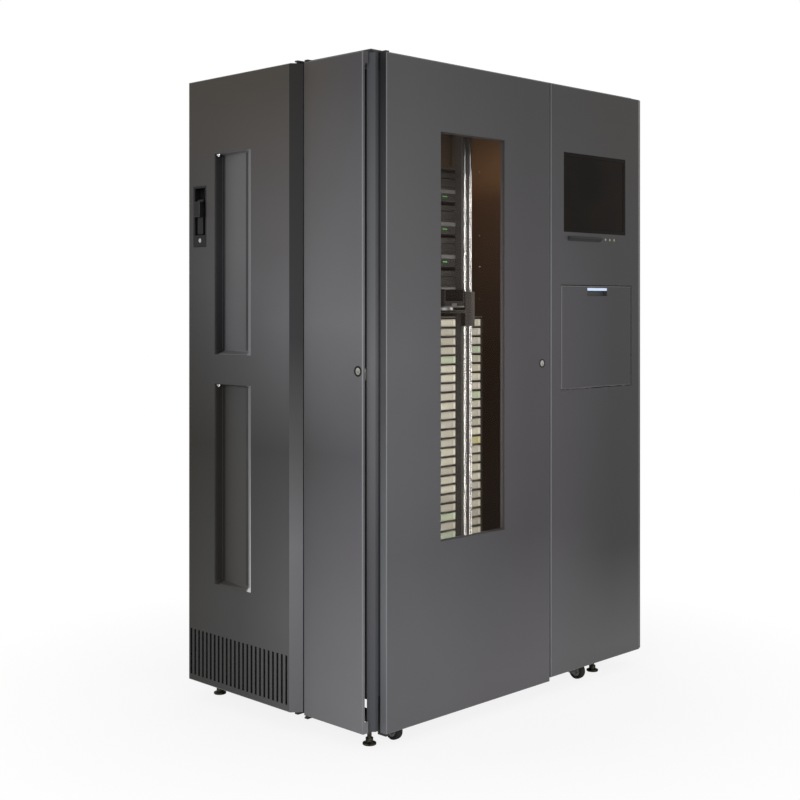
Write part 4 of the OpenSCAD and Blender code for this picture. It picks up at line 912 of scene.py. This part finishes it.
# %% Screws and liner
cage_low, cage_high = (np.array(corner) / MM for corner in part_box("drive_cage"))
SIDE_SET = 2.9             # the cage's side walls stand this far behind its shelves
SCREW_INSET = 12
SCREW = [(0.0, 0.4), (0.0, 3.2), (-0.7, 2.9), (-1.2, 1.6), (-1.3, 0.4)]
heads = [turned(SCREW, np.array([x, cage_low[1] + SIDE_SET, z]) * MM, 1, around=14)
         for x in (cage_low[0] + SCREW_INSET, cage_high[0] - SCREW_INSET)
         for z in np.arange(cage_high[2] - 1.3, cage_low[2], -DRIVE_PITCH)]
make_piece("cage_screws", joined(*heads), "cabinet", bright_rod, smooth=True)
LINER = ((597.0, -300, 110), (598.4, 370, 1740), 0.5)   # just inside the right panel
make_piece("wall_liner", blocks(LINER), "cabinet", liner_enamel_and_painted_light)

# %% [markdown]
# ## Edges of moulded and machined pieces
# Moulded covers, the robot's castings and the drives' shells have small radii at
# every edge. They are rounded in the same way as the folds, all sharp edges at
# once, and each copy rides where its solid rides.

# %% Rounded moulded pieces
MOULDED = [
    ("latch_housing", "wide_side_door", black_abs, "black_plastic", 1.2),
    ("latch_lever", "latch_lever", black_abs, "black_plastic", 1.5),
    ("lift_carriage", "lift_carriage", black_anodised, "aluminium", 1.0),
    ("gripper_hand", "gripper_hand", black_abs, "black_plastic", 0.8),
    ("tape_drives", "cabinet", black_abs, "black_plastic", 1.0),
    ("power_supplies", "cabinet", satin_steel, "bright_steel", 1.0),
    ("controller_box", "cabinet", satin_steel, "bright_steel", 1.0),
]
for node, body, material, slot, radius in MOULDED:
    eased(node, body, material, radius * MM, segments=2)

# %% [markdown]
# ## Caster wheels
# A caster's wheel is a rubber tyre moulded round a nylon hub. Both are profiles
# turned about the axle: radius as a function of the distance along the axle. The
# tyre's tread is crowned, and the hub is dished towards the axle.

# %% Wheels
def wheel(number):
    """Tyre and hub share the solid's outer radius, width and bore."""
    node = f"caster_wheel_{number}"
    low, high = (np.array(corner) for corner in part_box(node))
    centre = (low + high) / 2
    points = np.array([v.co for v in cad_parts[node].data.vertices]) - centre
    bore = np.hypot(points[:, 1], points[:, 2]).min() / MM
    outer = (high[2] - low[2]) / 2 / MM
    half = (high[0] - low[0]) / 2 / MM
    bore = max(bore, 0.5)
    rim = 0.62 * outer
    tyre = [(-half + 1.2, rim), (-half + 0.4, rim + 1.5), (-half + 0.4, outer - 3.5),
            (-half + 2.6, outer - 0.8), (-half / 3, outer), (half / 3, outer),
            (half - 2.6, outer - 0.8), (half - 0.4, outer - 3.5), (half - 0.4, rim + 1.5),
            (half - 1.2, rim)]
    hub = [(-half, bore), (-half, bore + 3.5), (-half + 3, bore + 5.5), (-half + 3, rim - 3),
           (-half + 1.0, rim - 1), (-half + 1.2, rim - 0.05), (half - 1.2, rim - 0.05),
           (half - 1.0, rim - 1), (half - 3, rim - 3), (half - 3, bore + 5.5),
           (half, bore + 3.5), (half, bore)]
    make_piece(f"tyre_{number}", turned_ring(tyre, centre, 0, 48), node, rubber,
               smooth=True, replaces=[node])
    make_piece(f"hub_{number}", turned_ring(hub, centre, 0, 48), node, grey_nylon,
               smooth=True)


for number in range(1, 5):
    wheel(number)

# %% [markdown]
# ## Power socket
# The line inlet's three blades stand in its recess. They are small rounded bars.

# %% Inlet blades
inlet_low, inlet_high = (np.array(corner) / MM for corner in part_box("power_inlet"))
socket_x = inlet_low[0] + 24
socket_z = (inlet_low[2] + inlet_high[2]) / 2
blades = [((socket_x + shift - 1, inlet_high[1] - 13.9, socket_z + lift - 3),
           (socket_x + shift + 1, inlet_high[1] - 3, socket_z + lift + 3), 0.6)
          for shift, lift in ((-8, -2), (0, 3), (8, -2))]
make_piece("inlet_blades", blocks(*blades), "cabinet", satin_steel)


# %% [markdown]
# ## Lights, floor and background
# Soft, plain light: the world gives an even white from all round, and two large
# lamps stand in front of the cabinet. The floor and the background are white to
# the camera, to gloss and to glass. The floor keeps the cabinet's shadow, and it
# turns to plain white away from the cabinet, so that no horizon shows. Inside,
# slim lamps stand for the light strips of the aisle.

# %% Lights
WORLD_LIGHT = 0.62


def area_lamp(name, place, target, size, power, colour="#ffffff"):
    """A rectangle of light that faces its target."""
    lamp = bpy.data.lights.new(name, "AREA")
    lamp.shape = "RECTANGLE"
    lamp.size, lamp.size_y = size
    lamp.energy = power
    lamp.color = linear(colour)[:3]
    holder = bpy.data.objects.new(name, lamp)
    holder.location = place
    aim = np.subtract(target, place)
    holder.rotation_euler = (math.atan2(np.hypot(aim[0], aim[1]), -aim[2]), 0,
                             math.atan2(aim[0], -aim[1]) + math.pi)
    holder.visible_camera = False
    bpy.context.scene.collection.objects.link(holder)
    print(name, "aims", np.round(aim, 2).tolist())
    return holder


world = bpy.data.worlds.new("white_studio")
bpy.context.scene.world = world
world.use_nodes = True
tree = world.node_tree
paths = add(tree, "ShaderNodeLightPath")
seen = add(tree, "ShaderNodeMath", {0: paths.outputs["Is Camera Ray"],
                                    1: paths.outputs["Is Transmission Ray"]},
           operation="MAXIMUM")
shown = add(tree, "ShaderNodeMath", {0: seen.outputs[0],
                                     1: paths.outputs["Is Glossy Ray"]},
            operation="MAXIMUM")
power = add(tree, "ShaderNodeMapRange", {"Value": shown.outputs[0], "To Min": WORLD_LIGHT,
                                         "To Max": 1.0})
background = tree.nodes["Background"]
background.inputs["Color"].default_value = (1, 1, 1, 1)
tree.links.new(power.outputs["Result"], background.inputs["Strength"])

area_lamp("left_lamp", (-4.2, -1.8, 1.5), (0, 0, 0.8), (2.6, 2.6), 70)
area_lamp("front_lamp", (-0.5, -4.5, 1.2), (0, 0, 0.8), (2.6, 2.0), 50)
area_lamp("aisle_lamp_left", (-0.47, -0.31, 0.95), (-0.1, -0.05, 0.95), (0.03, 1.2), 5.0,
          "#fff8ee")
area_lamp("aisle_lamp_right", (0.16, -0.33, 0.95), (-0.1, -0.05, 0.95), (0.03, 1.2), 3.4,
          "#fff8ee")
area_lamp("ceiling_lamp", (0.25, 0.12, 1.70), (0.3, 0.2, 1.3), (0.3, 0.2), 3.0, "#ffcf98")

# %% Floor
FLOOR_REACH = 30.0
WHITE_FROM, WHITE_TO = 0.7, 1.5    # metres from the middle
floor_mesh = bpy.data.meshes.new("floor")
corners = FLOOR_REACH * np.array([(-1, -1, 0), (1, -1, 0), (1, 1, 0), (-1, 1, 0)])
floor_mesh.from_pydata(corners.tolist(), [], [(0, 1, 2, 3)])
floor = bpy.data.objects.new("floor", floor_mesh)
bpy.context.scene.collection.objects.link(floor)
floor_paint, tree, shader, place = start_material("pale_floor", Roughness=0.9,
                                                  Specular_IOR_Level=0.1)
mottle = add(tree, "ShaderNodeTexNoise", {"Vector": place, "Scale": 3.0}).outputs["Fac"]
tone = add(tree, "ShaderNodeMapRange", {"Value": mottle, "To Min": 0.80, "To Max": 0.84})
tree.links.new(tone.outputs["Result"], shader.inputs["Base Color"])
glow = add(tree, "ShaderNodeEmission", {"Color": (1, 1, 1, 1), "Strength": 1.0})
away = add(tree, "ShaderNodeVectorMath", {0: place}, operation="LENGTH").outputs["Value"]
white = add(tree, "ShaderNodeMapRange",
            {"Value": away, "From Min": WHITE_FROM, "From Max": WHITE_TO,
             "To Min": 0.86, "To Max": 1.0}).outputs["Result"]
paths = add(tree, "ShaderNodeLightPath")
share = add(tree, "ShaderNodeMath", {0: paths.outputs["Is Camera Ray"], 1: white},
            operation="MULTIPLY")
blend = add(tree, "ShaderNodeMixShader", {0: share.outputs[0], 1: shader.outputs[0],
                                          2: glow.outputs[0]})
tree.links.new(blend.outputs[0], tree.nodes["Material Output"].inputs["Surface"])
floor_mesh.materials.append(floor_paint)
